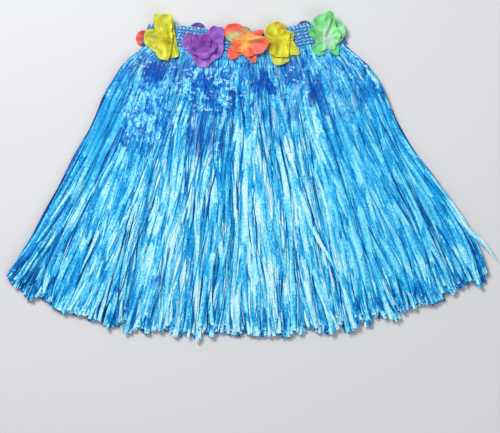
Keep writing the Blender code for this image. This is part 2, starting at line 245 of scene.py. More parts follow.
# %% Helpers for shader nodes
def paint(red, green, blue):
    """A screen colour as linear light, with its alpha."""
    shares = [value / 255 for value in (red, green, blue)]
    light = [s / 12.92 if s <= 0.04045 else ((s + 0.055) / 1.055) ** 2.4 for s in shares]
    return (*light, 1.0)


def feed(tree, node, inputs):
    """Gives a node its inputs. Each is a plain value or another node's output."""
    for socket, value in inputs.items():
        if isinstance(value, bpy.types.NodeSocket):
            tree.links.new(value, node.inputs[socket])
        else:
            node.inputs[socket].default_value = value


def put(tree, kind, inputs, output=0, **settings):
    """Adds a node and gives back one of its outputs."""
    node = tree.nodes.new("ShaderNode" + kind)
    for name, value in settings.items():
        setattr(node, name, value)
    feed(tree, node, inputs)
    return node.outputs[output]


def maths(tree, operation, first, second=0.0, clamp=False):
    """A math node on two values."""
    return put(tree, "Math", {0: first, 1: second}, operation=operation, use_clamp=clamp)


def times(tree, first, second):
    return maths(tree, "MULTIPLY", first, second)


def plus(tree, first, second):
    return maths(tree, "ADD", first, second)


def weighed(tree, start, parts, weights):
    """A start value plus each named part times its weight."""
    for name, weight in weights.items():
        start = plus(tree, times(tree, parts[name], weight), start)
    return start


def largest(tree, values):
    """The largest of several values."""
    return functools.reduce(functools.partial(maths, tree, "MAXIMUM"), values)


def share_between(tree, value, low, high, smooth=True):
    """How far a value is on its way from low to high, from 0 to 1."""
    kind = "SMOOTHSTEP" if smooth else "LINEAR"
    inputs = {"Value": value, "From Min": low, "From Max": high}
    return put(tree, "MapRange", inputs, interpolation_type=kind)


def own_value(tree, name, output="Fac"):
    """A value that the mesh keeps for each point."""
    return put(tree, "Attribute", {}, output, attribute_name=name)


def moved(tree, place, offset):
    return put(tree, "VectorMath", {0: place, 1: offset})


def stretched(tree, place, stretch):
    return put(tree, "Mapping", {"Vector": place, "Scale": stretch})


def part_of(tree, vector, letter):
    """The X, Y or Z of a vector."""
    return put(tree, "SeparateXYZ", {"Vector": vector}, letter)


# %% Helpers for patterns and colours
def noise_on(tree, vector, scale, detail=2.0, stretch=(1, 1, 1), output="Fac"):
    """Soft noise on a stretched vector."""
    inputs = {"Vector": stretched(tree, vector, stretch), "Scale": scale, "Detail": detail}
    return put(tree, "TexNoise", inputs, output)


def cells_on(tree, vector, randomness=1.0, **settings):
    """Voronoi cells: a chance from 0 to 1 for each cell, and how far its middle is."""
    inputs = {"Vector": vector, "Scale": 1.0, "Randomness": randomness}
    distance = put(tree, "TexVoronoi", inputs, "Distance", **settings)
    return part_of(tree, distance.node.outputs["Color"], "X"), distance


def blend_of(tree, factor, first, second):
    """Two colours mixed by a factor."""
    return put(tree, "Mix", {0: factor, 6: first, 7: second}, 2, data_type="RGBA")


def ramp_of(tree, factor, stops):
    """A colour ramp from pairs of place and screen colour."""
    colour = put(tree, "ValToRGB", {"Fac": factor})
    elements = colour.node.color_ramp.elements
    while len(elements) < len(stops):
        elements.new(0.5)
    for element, (place, screen_colour) in zip(elements, stops):
        element.position = place
        element.color = paint(*screen_colour)
    return colour


def new_finish(name):
    """A material with its node tree and its one shader."""
    material = bpy.data.materials.new(name)
    material.use_nodes = True
    tree = material.node_tree
    return material, tree, tree.nodes["Principled BSDF"]


def coat(tree, shader, colour, height, strength, depth, **inputs):
    """Gives a shader its colour, its relief of a depth in metres and its other inputs."""
    bump = {"Height": height, "Strength": strength, "Distance": depth}
    feed(tree, shader, {"Base Color": colour, "Normal": put(tree, "Bump", bump), **inputs})


floor_finish, tree, shader = new_finish("pale_floor")
feed(tree, shader, {"Base Color": paint(222, 223, 225), "Roughness": 0.9})
floor_mesh.materials.append(floor_finish)
print("the floor's finish:", floor_finish.name)

# %% [markdown]
# ## The finish of the raffia
# Raffia film is a shiny strip of plastic, drawn so hard that it splits into fibres. Each strip
# shows fine streaks, runs of pale and deep blue and broad pale patches along its length that
# are painted sheen, a mottle of fine crinkles painted as their light and shade, painted shade
# on its rim and a torn tip. Near the waist the film is crumpled from its bag: facets painted
# lighter and darker as light falls on them, painted shade in their seams, royal blue patches,
# small square painted glints, calm places and a few packing creases across the strands, pressed
# in as relief and painted darker as shade. The streaks follow each strip's own UV map, in
# metres. The crumpled places are laid out in millimetres on the drawing.

# %% Where the film is crumpled, in millimetres
PATCH = "x y wide tall depth"
ROYAL_PATCHES = table(
    PATCH,
    (-120, -28, 24, 16, 1.0), (-121, -10, 25, 12, 0.7), (1, -22, 10, 16, 0.8),
    (-96, -24, 8, 10, 0.6), (-155, -36, 13, 26, 0.4), (-48, -41, 9, 17, 0.75),
    (-62, -112, 20, 22, 0.70), (-40, -98, 13, 28, 0.5), (-22, -90, 8, 24, 0.35),
    (-159, -115, 9, 9, 0.9), (23, -42, 17, 17, 1.0), (62, -25, 16, 17, 0.85),
    (94, -52, 11, 16, 0.9), (101, -75, 9, 13, 0.65), (65, -76, 8, 13, 0.6),
    (35, -112, 11, 13, 0.45), (145, -53, 14, 22, 0.6), (-115, -300, 7, 8, 0.7),
    (-172, -312, 7, 7, 0.7),
)
# Fields of facets, painted lighter and darker as light falls on crumpled film, with painted shade in
# their seams
FACET_PATCHES = table(
    PATCH,
    (-42, -46, 50, 44, 1.0), (-128, -84, 32, 44, 0.95), (70, -27, 32, 19, 0.8),
    (162, -36, 16, 30, 0.7), (-156, -24, 20, 18, 0.55), (36, -66, 36, 38, 0.5),
    (122, -60, 30, 40, 0.35), (0, -20, 190, 22, 0.45), (-33, -131, 13, 11, 0.7),
)
# Where small square glints are painted as highlights
GLINT_PATCHES = table(
    PATCH,
    (-48, -50, 42, 34, 1.0), (-33, -131, 10, 9, 1.0), (62, -23, 20, 18, 0.9),
    (-118, -16, 30, 22, 0.8), (-128, -84, 32, 44, 0.3),
)
CALM_PATCHES = table(
    PATCH,
    (-162, -36, 15, 26, 0.65), (-181, -76, 19, 32, 0.70), (-197, -122, 20, 32, 0.65),
    (158, -125, 48, 60, 0.35), (175, -215, 75, 85, 0.30),
)
PACKING_CREASES = table("y strength", (-38, 0.5), (-57, 0.65), (-83, 0.5), (-103, 0.4))
print(len(ROYAL_PATCHES), "royal patches,", len(FACET_PATCHES), "fields of facets")

# %% Find the patches and creases on the skirt
PATCH_WANDER = 0.034
PATCH_RIM = (1.20, 0.75)
STRAND_JAG = 0.016
CREASE_WIDTH = 0.0017
CREASE_WANDER = 0.016
WANDER_SCALE = 55.0
CREASE_WANDER_SCALE = 40.0
CREASE_BREAK_SCALE = 85.0
CREASE_BREAK_STRETCH = (1, 0.3, 1)
CREASE_BREAKS = (0.50, 0.62)


def jagged_place(tree, place, tone):
    """The place, shifted from strand to strand, so that a patch gets a jagged rim."""
    noise = noise_on(tree, place, WANDER_SCALE, 3.0, output="Color")
    centred = put(tree, "VectorMath", {0: noise, 1: (0.5, 0.5, 0.5)}, operation="SUBTRACT")
    wander = put(tree, "VectorMath", {0: centred, "Scale": PATCH_WANDER}, operation="SCALE")
    lifted = maths(tree, "SUBTRACT", maths(tree, "MAXIMUM", tone), 0.5)
    shift = put(tree, "CombineXYZ", {"Y": times(tree, lifted, STRAND_JAG)})
    return moved(tree, moved(tree, place, wander), shift)


def patched_share(tree, place, patches):
    """How far a place is inside the listed patches, from 0 to each patch's depth."""
    shares = []
    for patch in patches:
        scale = (1 / (patch.wide * MM), 1 / (patch.tall * MM), 0.0)
        centre = (SHIFT_X + patch.x * MM, SHIFT_Y + patch.y * MM)
        offset = (-centre[0] * scale[0], -centre[1] * scale[1], 0.0)
        local = put(tree, "Mapping", {"Vector": place, "Scale": scale, "Location": offset})
        far = put(tree, "VectorMath", {0: local}, "Value", operation="LENGTH")
        shares.append(times(tree, share_between(tree, far, *PATCH_RIM), patch.depth))
    return largest(tree, shares)


def packing_lines(tree, place, up):
    """Where a packing crease crosses the strands."""
    wander = times(tree, noise_on(tree, place, CREASE_WANDER_SCALE), CREASE_WANDER)
    wandering = plus(tree, up, wander)
    broken = noise_on(tree, place, CREASE_BREAK_SCALE, 1.0, CREASE_BREAK_STRETCH)
    broken = share_between(tree, broken, *CREASE_BREAKS)
    lines = []
    for crease in PACKING_CREASES:
        middle = SHIFT_Y + crease.y * MM + CREASE_WANDER / 2
        off = maths(tree, "ABSOLUTE", maths(tree, "SUBTRACT", wandering, middle))
        lines.append(times(tree, share_between(tree, off, CREASE_WIDTH, 0.0), crease.strength))
    return times(tree, largest(tree, lines), broken)


# %% Colours of the raffia
LIGHT_RAFFIA = (
    (0.00, (0, 60, 140)), (0.16, (0, 108, 188)), (0.36, (8, 150, 224)), (0.55, (54, 192, 248)),
    (0.74, (130, 232, 255)), (0.90, (172, 243, 255)), (1.00, (212, 252, 255)),
)
# The rows under the top one get a deeper blue: partly film lying over film, partly painted shade
DEEP_SHADED_RAFFIA = (
    (0.00, (2, 44, 112)), (0.40, (8, 92, 180)), (0.75, (36, 152, 226)), (1.00, (128, 218, 250)),
)
CRUMPLED_FILM = (
    (0.00, (8, 80, 180)), (0.18, (10, 106, 204)), (0.38, (6, 146, 226)), (0.58, (58, 190, 248)),
    (0.78, (142, 234, 255)), (1.00, (226, 255, 255)),
)
# Painted shade along the packing creases
CREASE_SHADE_BLUE = (14, 72, 160)
# Painted shade of the fine crinkle ticks
TICK_SHADE_BLUE = (10, 88, 172)
GLINT_WHITE = (190, 240, 255)
print(len(LIGHT_RAFFIA), "stops from deep blue to pale")

# %% Fold the film into facets and glints
FACET_PITCH = (150, 66, 1)
FACET_SLIP = 0.22
FACET_WEIGHTS = {"facet": 0.6, "blots": 0.4}
FACET_BRIGHT = (0.38, 0.64)
FACET_SEAM = (0.13, 0.02)
BEND_SCALE = 1.4
BLOT_SCALE = 0.7
BLOT_RIM = (0.40, 0.60)
GLINT_PITCH = (230, 330, 1)
GLINT_WEIGHTS = {"lit": 1.0, "dark": -0.45}
GLINT_LIT = (0.64, 0.68)
GLINT_DARK = (0.34, 0.26)
GLINT_DISORDER = 0.8
GLINT_RIM = (0.46, 0.34)
CLUSTER_SCALE = 60.0
CLUSTER_RIM = (0.43, 0.54)


def glints_of(tree, place, bend):
    """Small square painted glints in loose clusters: 1 for a bright one, below 0 for a dark square of
    painted shade.
    """
    squares = moved(tree, stretched(tree, place, GLINT_PITCH), bend)
    chance, distance = cells_on(tree, squares, GLINT_DISORDER, distance="CHEBYCHEV")
    kinds = {
        "lit": share_between(tree, chance, *GLINT_LIT),
        "dark": share_between(tree, chance, *GLINT_DARK),
    }
    glint = weighed(tree, 0.0, kinds, GLINT_WEIGHTS)
    inner = share_between(tree, distance, *GLINT_RIM)
    clusters = share_between(tree, noise_on(tree, place, CLUSTER_SCALE, 1.0), *CLUSTER_RIM)
    return times(tree, times(tree, glint, inner), clusters)


def facets_of(tree, place, tone):
    """Facets of crumpled film: how bright each is painted as light falls on it, the painted shade of
    its seams, its dip and its painted glints.
    """
    slip = put(tree, "CombineXYZ", {"Z": times(tree, tone, FACET_SLIP)})
    slipped = moved(tree, stretched(tree, place, FACET_PITCH), slip)
    bend = noise_on(tree, slipped, BEND_SCALE, 1.0, output="Color")
    bent = moved(tree, slipped, bend)
    chance, dip = cells_on(tree, bent)
    rims = put(tree, "TexVoronoi", {"Vector": bent, "Scale": 1.0}, feature="DISTANCE_TO_EDGE")
    blots = share_between(tree, noise_on(tree, bent, BLOT_SCALE, 3.0), *BLOT_RIM)
    light = weighed(tree, 0.0, {"facet": chance, "blots": blots}, FACET_WEIGHTS)
    return {
        "bright": share_between(tree, light, *FACET_BRIGHT),
        "seams": share_between(tree, rims, *FACET_SEAM),
        "dip": dip,
        "glints": glints_of(tree, place, bend),
    }


# %% Draw the streaks of a strip
STREAKS = table(
    "name pitch detail low high smooth",
    ("fine", (820, 13, 1), 3.0, 0.32, 0.68, False),
    # Broad pale patches along the strip, painted sheen
    ("broad", (150, 16, 1), 2.0, 0.40, 0.60, True),
    # A mottle of fine crinkles: relief, and painted as their light and shade
    ("mottle", (380, 230, 1), 3.0, 0.34, 0.66, False),
)
RUN_PITCH = (115, 30, 1)
RUN_RANGE = (0.15, 0.85)
PALEST_X = -0.015
PALER_RANGE = (0.26, 0.05)
TIP_RANGE = (0.88, 0.965)
TORN_RANGE = (0.972, 0.992)
RIM_SHARPNESS = 4.0


def streaks_of(tree, strip, place):
    """What each strip shows by itself, under their names: streaks, painted sheen, painted light and
    shade of crinkles, painted shade on its rims and its torn tip.
    """
    look = {name: own_value(tree, name) for name in ("tone", "edge", "end")}
    for row in STREAKS:
        noise = noise_on(tree, strip, 1.0, row.detail, row.pitch)
        look[row.name] = share_between(tree, noise, row.low, row.high, row.smooth)
    # Runs of pale and deep blue along the strip, painted as sheen
    chance, _ = cells_on(tree, stretched(tree, strip, RUN_PITCH))
    look["runs"] = share_between(tree, chance, *RUN_RANGE)
    aside = maths(tree, "SUBTRACT", part_of(tree, place, "X"), SHIFT_X + PALEST_X)
    look["paler"] = share_between(tree, maths(tree, "ABSOLUTE", aside), *PALER_RANGE)
    look["tips"] = share_between(tree, look["end"], *TIP_RANGE)
    look["patchy_tips"] = times(tree, look["tips"], look["broad"])
    torn = share_between(tree, look["end"], *TORN_RANGE)
    look["torn"] = times(tree, torn, look["mottle"])
    # Painted shade along each strip's two rims
    look["rims"] = maths(tree, "POWER", look["edge"], RIM_SHARPNESS)
    return look


# %% Mix the raffia's finishes
FILM_START = -0.015
# The strip's value: its tone and streaks, painted sheen, painted light and shade of crinkles and
# painted shade on its rims
FILM_WEIGHTS = {
    "tone": 0.25, "fine": 0.16, "broad": 0.22, "runs": 0.38, "mottle": 0.24,
    "paler": 0.17, "tips": -0.24, "patchy_tips": 0.28, "torn": 0.42, "rims": -0.42,
}
RELIEF_WEIGHTS = {"fine": 0.20, "mottle": 0.22}
PLAIN_CRINKLE = 0.3
CRUMPLE_STARTS = -0.200
CRUMPLE_FULL = -0.110
CRUMPLE_START = 0.16
# In the crumpled film the facets' brightness, the glints and the pale breaks in the royal are painted
# light, and the seams and rims painted shade
CRUMPLE_WEIGHTS = {
    "bright": 0.44, "tone": 0.10, "mottle": 0.26, "rims": -0.36, "glints": 0.30,
    "seams": -0.20, "royal": -0.62, "broken_royal": 0.18,
}
CRUMPLE_DARKER = -0.10
CRUMPLE_CRINKLE = 0.5
CALM_VALUE = 0.45
GLINT_COVER = 0.75
TICK_PITCH = (330, 640, 1)
TICK_RANGE = (0.37, 0.30)
TICK_COVER = 0.72
CRINKLE_SCALE = 190.0
CRINKLE_STRETCH = (1, 0.8, 1)
GLOSS = {"To Min": 0.24, "To Max": 0.38}
RAFFIA_BUMP = (0.8, 0.0008)


def crumpled_film(tree, strip, place, look, value, stops):
    """The front row's colour, and the relief of its crumples."""
    up = part_of(tree, place, "Y")
    zone = share_between(tree, up, SHIFT_Y + CRUMPLE_STARTS, SHIFT_Y + CRUMPLE_FULL)
    value = plus(tree, times(tree, zone, CRUMPLE_DARKER), value)
    jagged = jagged_place(tree, place, look["tone"])
    calm, royal, field, glinting = (
        patched_share(tree, jagged, patches)
        for patches in (CALM_PATCHES, ROYAL_PATCHES, FACET_PATCHES, GLINT_PATCHES)
    )
    plain = ramp_of(tree, put(tree, "Mix", {0: calm, 2: value, 3: CALM_VALUE}), stops)

    look = {**look, **facets_of(tree, place, look["tone"]), "royal": royal}
    look["glints"] = times(tree, look["glints"], glinting)
    # Painted sheen breaking up the royal patches
    look["broken_royal"] = times(tree, royal, look["broad"])
    creased = weighed(tree, CRUMPLE_START, look, CRUMPLE_WEIGHTS)
    creased = ramp_of(tree, creased, CRUMPLED_FILM)
    colour = blend_of(tree, maths(tree, "MAXIMUM", field, royal), plain, creased)

    lit = maths(tree, "MULTIPLY", look["glints"], GLINT_COVER, clamp=True)
    lines = packing_lines(tree, place, up)
    # Short dark ticks across the strips, painted shade of fine crinkles
    ticks = share_between(tree, noise_on(tree, strip, 1.0, 1.0, TICK_PITCH), *TICK_RANGE)
    ticks = times(tree, ticks, TICK_COVER)
    # Over the colour go painted glints, then the painted shade of the packing creases and of the
    # crinkle ticks
    for cover, tint in ((lit, GLINT_WHITE), (lines, CREASE_SHADE_BLUE), (ticks, TICK_SHADE_BLUE)):
        colour = blend_of(tree, cover, colour, paint(*tint))
    rough = plus(tree, times(tree, look["crinkle"], CRUMPLE_CRINKLE), look["dip"])
    return colour, maths(tree, "SUBTRACT", times(tree, rough, zone), lines)


def raffia_finish(name, stops, crumpled):
    """Shiny film with streaks, and with crumpled places where the piece shows them."""
    material, tree, shader = new_finish(name)
    strip = put(tree, "UVMap", {}, uv_map="strip")
    place = put(tree, "TexCoord", {}, "Object")
    look = streaks_of(tree, strip, place)
    look["crinkle"] = noise_on(tree, place, CRINKLE_SCALE, 2.0, CRINKLE_STRETCH)
    value = weighed(tree, FILM_START, look, FILM_WEIGHTS)
    height = weighed(tree, 0.0, look, RELIEF_WEIGHTS)
    if crumpled:
        colour, relief = crumpled_film(tree, strip, place, look, value, stops)
    else:
        colour = ramp_of(tree, value, stops)
        relief = times(tree, look["crinkle"], PLAIN_CRINKLE)
    gloss = put(tree, "MapRange", {"Value": look["fine"], **GLOSS})
    inputs = {"Roughness": gloss, "Specular IOR Level": 0.15}
    coat(tree, shader, colour, plus(tree, height, relief), *RAFFIA_BUMP, **inputs)
    return material


raffia = {
    "light": raffia_finish("raffia_light", LIGHT_RAFFIA, crumpled=True),
    "deep": raffia_finish("raffia_deep", DEEP_SHADED_RAFFIA, crumpled=False),
}
print("finishes:", ", ".join(material.name for material in raffia.values()))

# %% [markdown]
# ## A strip of film, repeated
# One strip is a closed bar with three sides, like a strip folded once along its length. A
# triangle is drawn out station by station. Each of its points then keeps only its numbers:
# station, side, and the number of its copy, which an Array modifier counts upwards. Once
# the copies are one mesh, every point is laid where its three numbers say.

# %% Draw one strip and copy it
SIDES = 3


def strip_chart(stations):
    """A closed bar whose points hold their station and side instead of a place."""
    bm = bmesh.new()
    bmesh.ops.create_circle(bm, cap_ends=True, segments=SIDES, radius=1)
    drawn = bmesh.ops.extrude_face_region(bm, geom=list(bm.faces))["geom"]
    face = next(part for part in drawn if isinstance(part, bmesh.types.BMFace))
    bmesh.ops.translate(bm, verts=face.verts, vec=(0, 0, 1))
    for station in range(2, stations):
        face = bmesh.ops.extrude_discrete_faces(bm, faces=[face])["faces"][0]
        bmesh.ops.translate(bm, verts=face.verts, vec=(0, 0, 1))
    bmesh.ops.recalc_face_normals(bm, faces=bm.faces)
    for vert in bm.verts:
        turn = math.atan2(vert.co.y, vert.co.x) / math.tau % 1
        vert.co = (round(vert.co.z), round(turn * SIDES) % SIDES, 0.0)
    return bm


def counted_copies(name, bm, count):
    """Many copies of a chart as one mesh. A copy's number is in its points' Z."""
    single = mesh_from(name + "_single", bm)
    holder = add_object(name + "_holder", single)
    copies = holder.modifiers.new("copies", "ARRAY")
    copies.count = count
    copies.use_relative_offset = False
    copies.use_constant_offset = True
    copies.constant_offset_displace = (0.0, 0.0, 1.0)
    graph = bpy.context.evaluated_depsgraph_get()
    mesh = bpy.data.meshes.new_from_object(holder.evaluated_get(graph))
    mesh.name = name
    bpy.data.objects.remove(holder)
    bpy.data.meshes.remove(single)
    return mesh


def points_of(mesh):
    """The X, the Y and the Z of all points."""
    places = np.empty(len(mesh.vertices) * 3, np.float32)
    mesh.vertices.foreach_get("co", places)
    return places.reshape(-1, 3).astype(float).T


def chart_of(mesh):
    """The three whole numbers that each point of a chart holds."""
    return np.rint(points_of(mesh)).astype(int)


def add_piece(name, mesh, points, finish, replaced):
    """A charted mesh laid on its points, as a piece that rides on the skirt."""
    placed = np.asarray(points, np.float32) + np.array((SHIFT_X, SHIFT_Y, 0), np.float32)
    mesh.vertices.foreach_set("co", placed.ravel())
    mesh.materials.clear()
    mesh.materials.append(finish)
    mesh.update()
    piece = add_object(name, mesh)
    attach(piece, "root")
    if replaced:
        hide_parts(*replaced)
    return piece


def keep_values(mesh, **named):
    """Numbers for each point under their names, for the finish to read."""
    for name, values in named.items():
        attribute = mesh.attributes.new(name, "FLOAT", "POINT")
        attribute.data.foreach_set("value", np.asarray(values, np.float32))


def keep_uv(mesh, name, across, along):
    """A UV map from two numbers for each point."""
    corners = np.empty(len(mesh.loops), np.int32)
    mesh.loops.foreach_get("vertex_index", corners)
    layer = mesh.uv_layers.new(name=name)
    pairs = np.stack([across[corners], along[corners]], axis=1).astype(np.float32)
    layer.data.foreach_set("uv", pairs.ravel())


trial = counted_copies("trial", strip_chart(4), 3)
print("a strip of 4 stations, 3 copies:", len(trial.vertices), "points", len(trial.polygons), "faces")
bpy.data.meshes.remove(trial)

# %% [markdown]
# ## The four rows of strands
# Two rows hang from the front panel and two from the back one, and all lie on each other.
# Each strand leaves its heading narrow and gathered, opens out below it, crosses a few of
# its neighbours and ends where it was torn off, so the hem is ragged. Slow waves across the
# fan bunch the strands and open gaps between them. Narrow dark strands laid on top are
# painted shade: they stand for the shaded slits between strands. Near the waist the film is
# crumpled, so there each station turns the strip a little.

# %% Sizes of the strands
FRINGE_ROWS = table(
    "name strands stations level loft slot seed",
    ("fringe_back_floor", 460, 12, 0, 0.0010, "deep", 21),
    ("fringe_back_upper", 420, 12, 1, 0.0012, "deep", 22),
    ("fringe_front_under", 560, 18, 2, 0.0014, "deep", 23),
    ("fringe_front_top", 820, 27, 3, 0.0032, "light", 24),
)
STATION_CROWDING = 1.35
HEADING_SHARE = HEADING_HEIGHT / STRAND_LENGTH
EDGE_LIMIT = 0.985
CROSSING = 0.030
FAR_CROSSING = 0.080
FAR_SHARE = 0.16
WIDTH_RANGE = (0.0034, 0.0100)
WIDTH_LEAN = 1.3
# Narrow dark strands laid on top of each row, as painted shade for the slits between strands
SLIT_SHARE = 0.29
SLIT_WIDTH = 0.0025
SLIT_SHADE_TONE = -1.7
SLIT_PLACES = (0.15, 0.95)
SLIT_DEPTHS = (0.92, 1.18)
SLIT_REACH = 0.06
SLIT_ENDS = 0.12
TIP_LONGEST = 0.012
TIP_SPREAD = 0.017

# The hem gathers into small tufts, each torn off at its own length
TUFTS = 86
TUFT_PULL = 0.70
TUFT_STARTS = 0.90
TUFT_UNEVEN = 0.010
TUFT_ROUND = 0.020
TUFT_SEED = 5
tuft_draw = np.random.default_rng(TUFT_SEED)
tuft_places = (np.arange(TUFTS) + 0.5 + tuft_draw.uniform(-0.3, 0.3, TUFTS)) / TUFTS * 2 - 1
tuft_lengths = tuft_draw.normal(0.0, TUFT_UNEVEN, TUFTS)

# Slow waves across the fan crowd the strands together
BUNCHES = table("waves reach lean", (7, 0.0090, 1.9), (13, 0.0060, -2.6), (25, 0.0030, 3.7))
BUNCHED_BY = 0.25

# Single strands that leave the fan at its edges, pale from where they leave it
STRAYS = table(
    "across leaves sideways length width tone",
    (0.980, 0.74, 0.0216, 0.962, 0.0066, 2.30), (0.976, 0.74, 0.0200, 0.935, 0.0044, 1.70),
    (0.984, 0.30, 0.0060, 0.560, 0.0028, 0.15), (0.984, 0.40, 0.0062, 0.840, 0.0046, 1.10),
    (-0.984, 0.78, -0.0060, 0.985, 0.0030, 0.55), (-0.970, 0.86, -0.0090, 0.975, 0.0022, 0.20),
    (-0.982, 0.05, -0.0020, 0.230, 0.0048, 1.50), (0.980, 0.02, 0.0020, 0.200, 0.0075, 2.10),
)
STRAY_TONE = 0.55
STRAY_PALES = 0.10
STRAY_POINT = 0.96
print(sum(row.strands for row in FRINGE_ROWS), "strands in", len(FRINGE_ROWS), "rows")

# %% Draw the strands of a row
Strands = namedtuple(
    "Strands",
    "root hem to_tuft length width tone rank slit slit_middle leaves sideways pointed",
)


def bunching(across, along):
    """Slow waves across the fan that crowd the strands together."""
    shift = 0.0
    for bunch in BUNCHES:
        turn = math.tau * bunch.waves / 2 * across + bunch.lean * math.tau * along / 2
        shift = shift + bunch.reach * np.sin(turn)
    return shift * eased(along, 0, BUNCHED_BY)


def drawn_strands(row, draw):
    """Where each strand starts and ends, its length, width and sheen, as columns."""
    count = row.strands
    root = (np.arange(count) + draw.uniform(0.1, 0.9, count)) / count * 2 - 1
    crossing = np.where(draw.random(count) < FAR_SHARE, FAR_CROSSING, CROSSING)
    hem = np.clip(root + draw.normal(0.0, 1.0, count) * crossing, -1.0, 1.0)
    root = root * EDGE_LIMIT
    hem = hem * EDGE_LIMIT
    at_hem = hem + bunching(hem, np.ones(count))
    tuft = np.abs(at_hem[:, None] - tuft_places[None, :]).argmin(axis=1)
    to_tuft = tuft_places[tuft] - at_hem
    length = 1 + TIP_LONGEST - np.abs(draw.normal(0.0, TIP_SPREAD, count))
    length += tuft_lengths[tuft] - TUFT_ROUND * (np.abs(to_tuft) * TUFTS) ** 2 * 0.5
    width = between(*WIDTH_RANGE, draw.random(count) ** WIDTH_LEAN)
    tone = draw.random(count)
    rank = draw.permutation(count) / count
    # Narrow, dark and on top: these strands are painted shade for the slits between strands
    slit = draw.random(count) < SLIT_SHARE
    slit_middle = draw.uniform(*SLIT_PLACES, count)
    width[slit] = SLIT_WIDTH
    tone[slit] = SLIT_SHADE_TONE
    rank[slit] = draw.uniform(*SLIT_DEPTHS, slit.sum())
    leaves = np.ones(count)
    sideways, pointed = np.zeros((2, count))
    if row.name == "fringe_front_top":
        for number, stray in enumerate(STRAYS):
            root[number] = hem[number] = stray.across
            leaves[number], sideways[number] = stray.leaves, stray.sideways
            length[number], width[number] = stray.length, stray.width
            tone[number] = stray.tone
            rank[number] = pointed[number] = 1.0
            slit[number] = False
            to_tuft[number] = 0.0
    values = (root, hem, to_tuft, length, width, tone, rank, slit, slit_middle, leaves, sideways)
    return Strands(*(value[:, None] for value in (*values, pointed)))


# %% Lead the strands from the heading to the hem
WIGGLE = 0.0038
WIGGLES_BY = 0.3
KINK = 0.0011
KINKS_BY = 0.04
CRUMPLE_ENDS = 0.34
EDGE_STIFFNESS = 8
SHORTEST_LEAVING = 0.05


def crumpled_share(along):
    """How crumpled the film is, from 1 at the heading to 0 below the crumpled zone."""
    return eased(along, CRUMPLE_ENDS, 0)


def strand_paths(strands, along, waves, phase, draw):
    """X and Y of the strands' middle lines, and the directions beside them."""
    across = between(strands.root, strands.hem, along)
    across = across + bunching(across, along)
    across = across + strands.to_tuft * TUFT_PULL * eased(along, TUFT_STARTS, 1)
    across = np.clip(across, -EDGE_LIMIT, EDGE_LIMIT)
    x, y = fan_places(across, np.maximum(along, 0.0))
    y = y - np.minimum(along, 0.0) * STRAND_LENGTH

    inside = 1 - (across / EDGE_LIMIT) ** EDGE_STIFFNESS
    wiggle = WIGGLE * np.sin(math.tau * waves * along + phase) * eased(along, 0, WIGGLES_BY)
    leaving = np.maximum(1 - strands.leaves, SHORTEST_LEAVING)
    gone = eased((along - strands.leaves) / leaving)
    kinks = KINK * crumpled_share(along) * eased(along, 0, KINKS_BY)
    kinks = kinks * draw.normal(0.0, 1.0, along.shape)
    aside = (wiggle + kinks) * inside + strands.sideways * gone

    ahead = np.stack([np.gradient(x, axis=1), np.gradient(y, axis=1)])
    ahead = ahead / np.linalg.norm(ahead, axis=0)
    beside = np.stack([-ahead[1], ahead[0]])
    return np.stack([x, y]) + beside * aside, beside


# %% Shape the strips' width and fold
SWELL = 0.2
SWELL_PACE = 1.7
ROOT_WIDTH = 0.35
OPENS_BY = 0.14
TIP_WIDTH = 0.75
TIP_STARTS = 0.9
POINT_STARTS = 0.88
HIGH_RANGE = (0.06, 0.15)
RIDGE_LEAN = 0.28
TWIST = math.radians(7)
TWIST_PACE = 0.8
CRUMPLE_TWIST = math.radians(13)


def strip_widths(strands, shares, along, waves, phase):
    """Each strip's width at each station: narrow at the root, swelling, and torn at the tip."""
    opened = between(ROOT_WIDTH, 1, eased(along, 0, OPENS_BY))
    tip = between(1, TIP_WIDTH, eased(shares, TIP_STARTS, 1))
    tip = tip * (1 - STRAY_POINT * strands.pointed * eased(shares, POINT_STARTS, 1))
    near = np.exp(-(((along - strands.slit_middle) / SLIT_REACH) ** 2))
    tip = tip * np.where(strands.slit, between(SLIT_ENDS, 1, near), 1.0)
    swell = 1 + SWELL * np.sin(math.tau * waves * SWELL_PACE * along + phase)
    return strands.width * opened * tip * swell


def strip_corners(wide, along, waves, phase, draw):
    """How far aside and how high each corner of the three-sided strip lies."""
    high = wide * draw.uniform(*HIGH_RANGE, (len(wide), 1))
    ridge = draw.uniform(-RIDGE_LEAN, RIDGE_LEAN, (len(wide), 1))
    twist = TWIST * np.sin(math.tau * waves * TWIST_PACE * along + phase)
    crumple = CRUMPLE_TWIST * crumpled_share(along) + TWIST / 4
    twist = twist + crumple * draw.normal(0.0, 1.0, along.shape)
    corners = ((0.5, 0.0), (ridge, 1.0), (-0.5, 0.0))
    flats = [out * wide * np.cos(twist) - up * high * np.sin(twist) for out, up in corners]
    rises = [out * wide * np.sin(twist) + up * high * np.cos(twist) for out, up in corners]
    return zip(flats, rises)


# %% Lay a row
ROOT_LOFT = 0.35
LOFTED_BY = 0.10
STRIP_LIFT = 0.0004
FLOOR_CLEAR = 0.0002
SIDE_STEP = 0.0001
STRIP_OFFSET = 0.031
WAVES_RANGE = (0.8, 2.6)


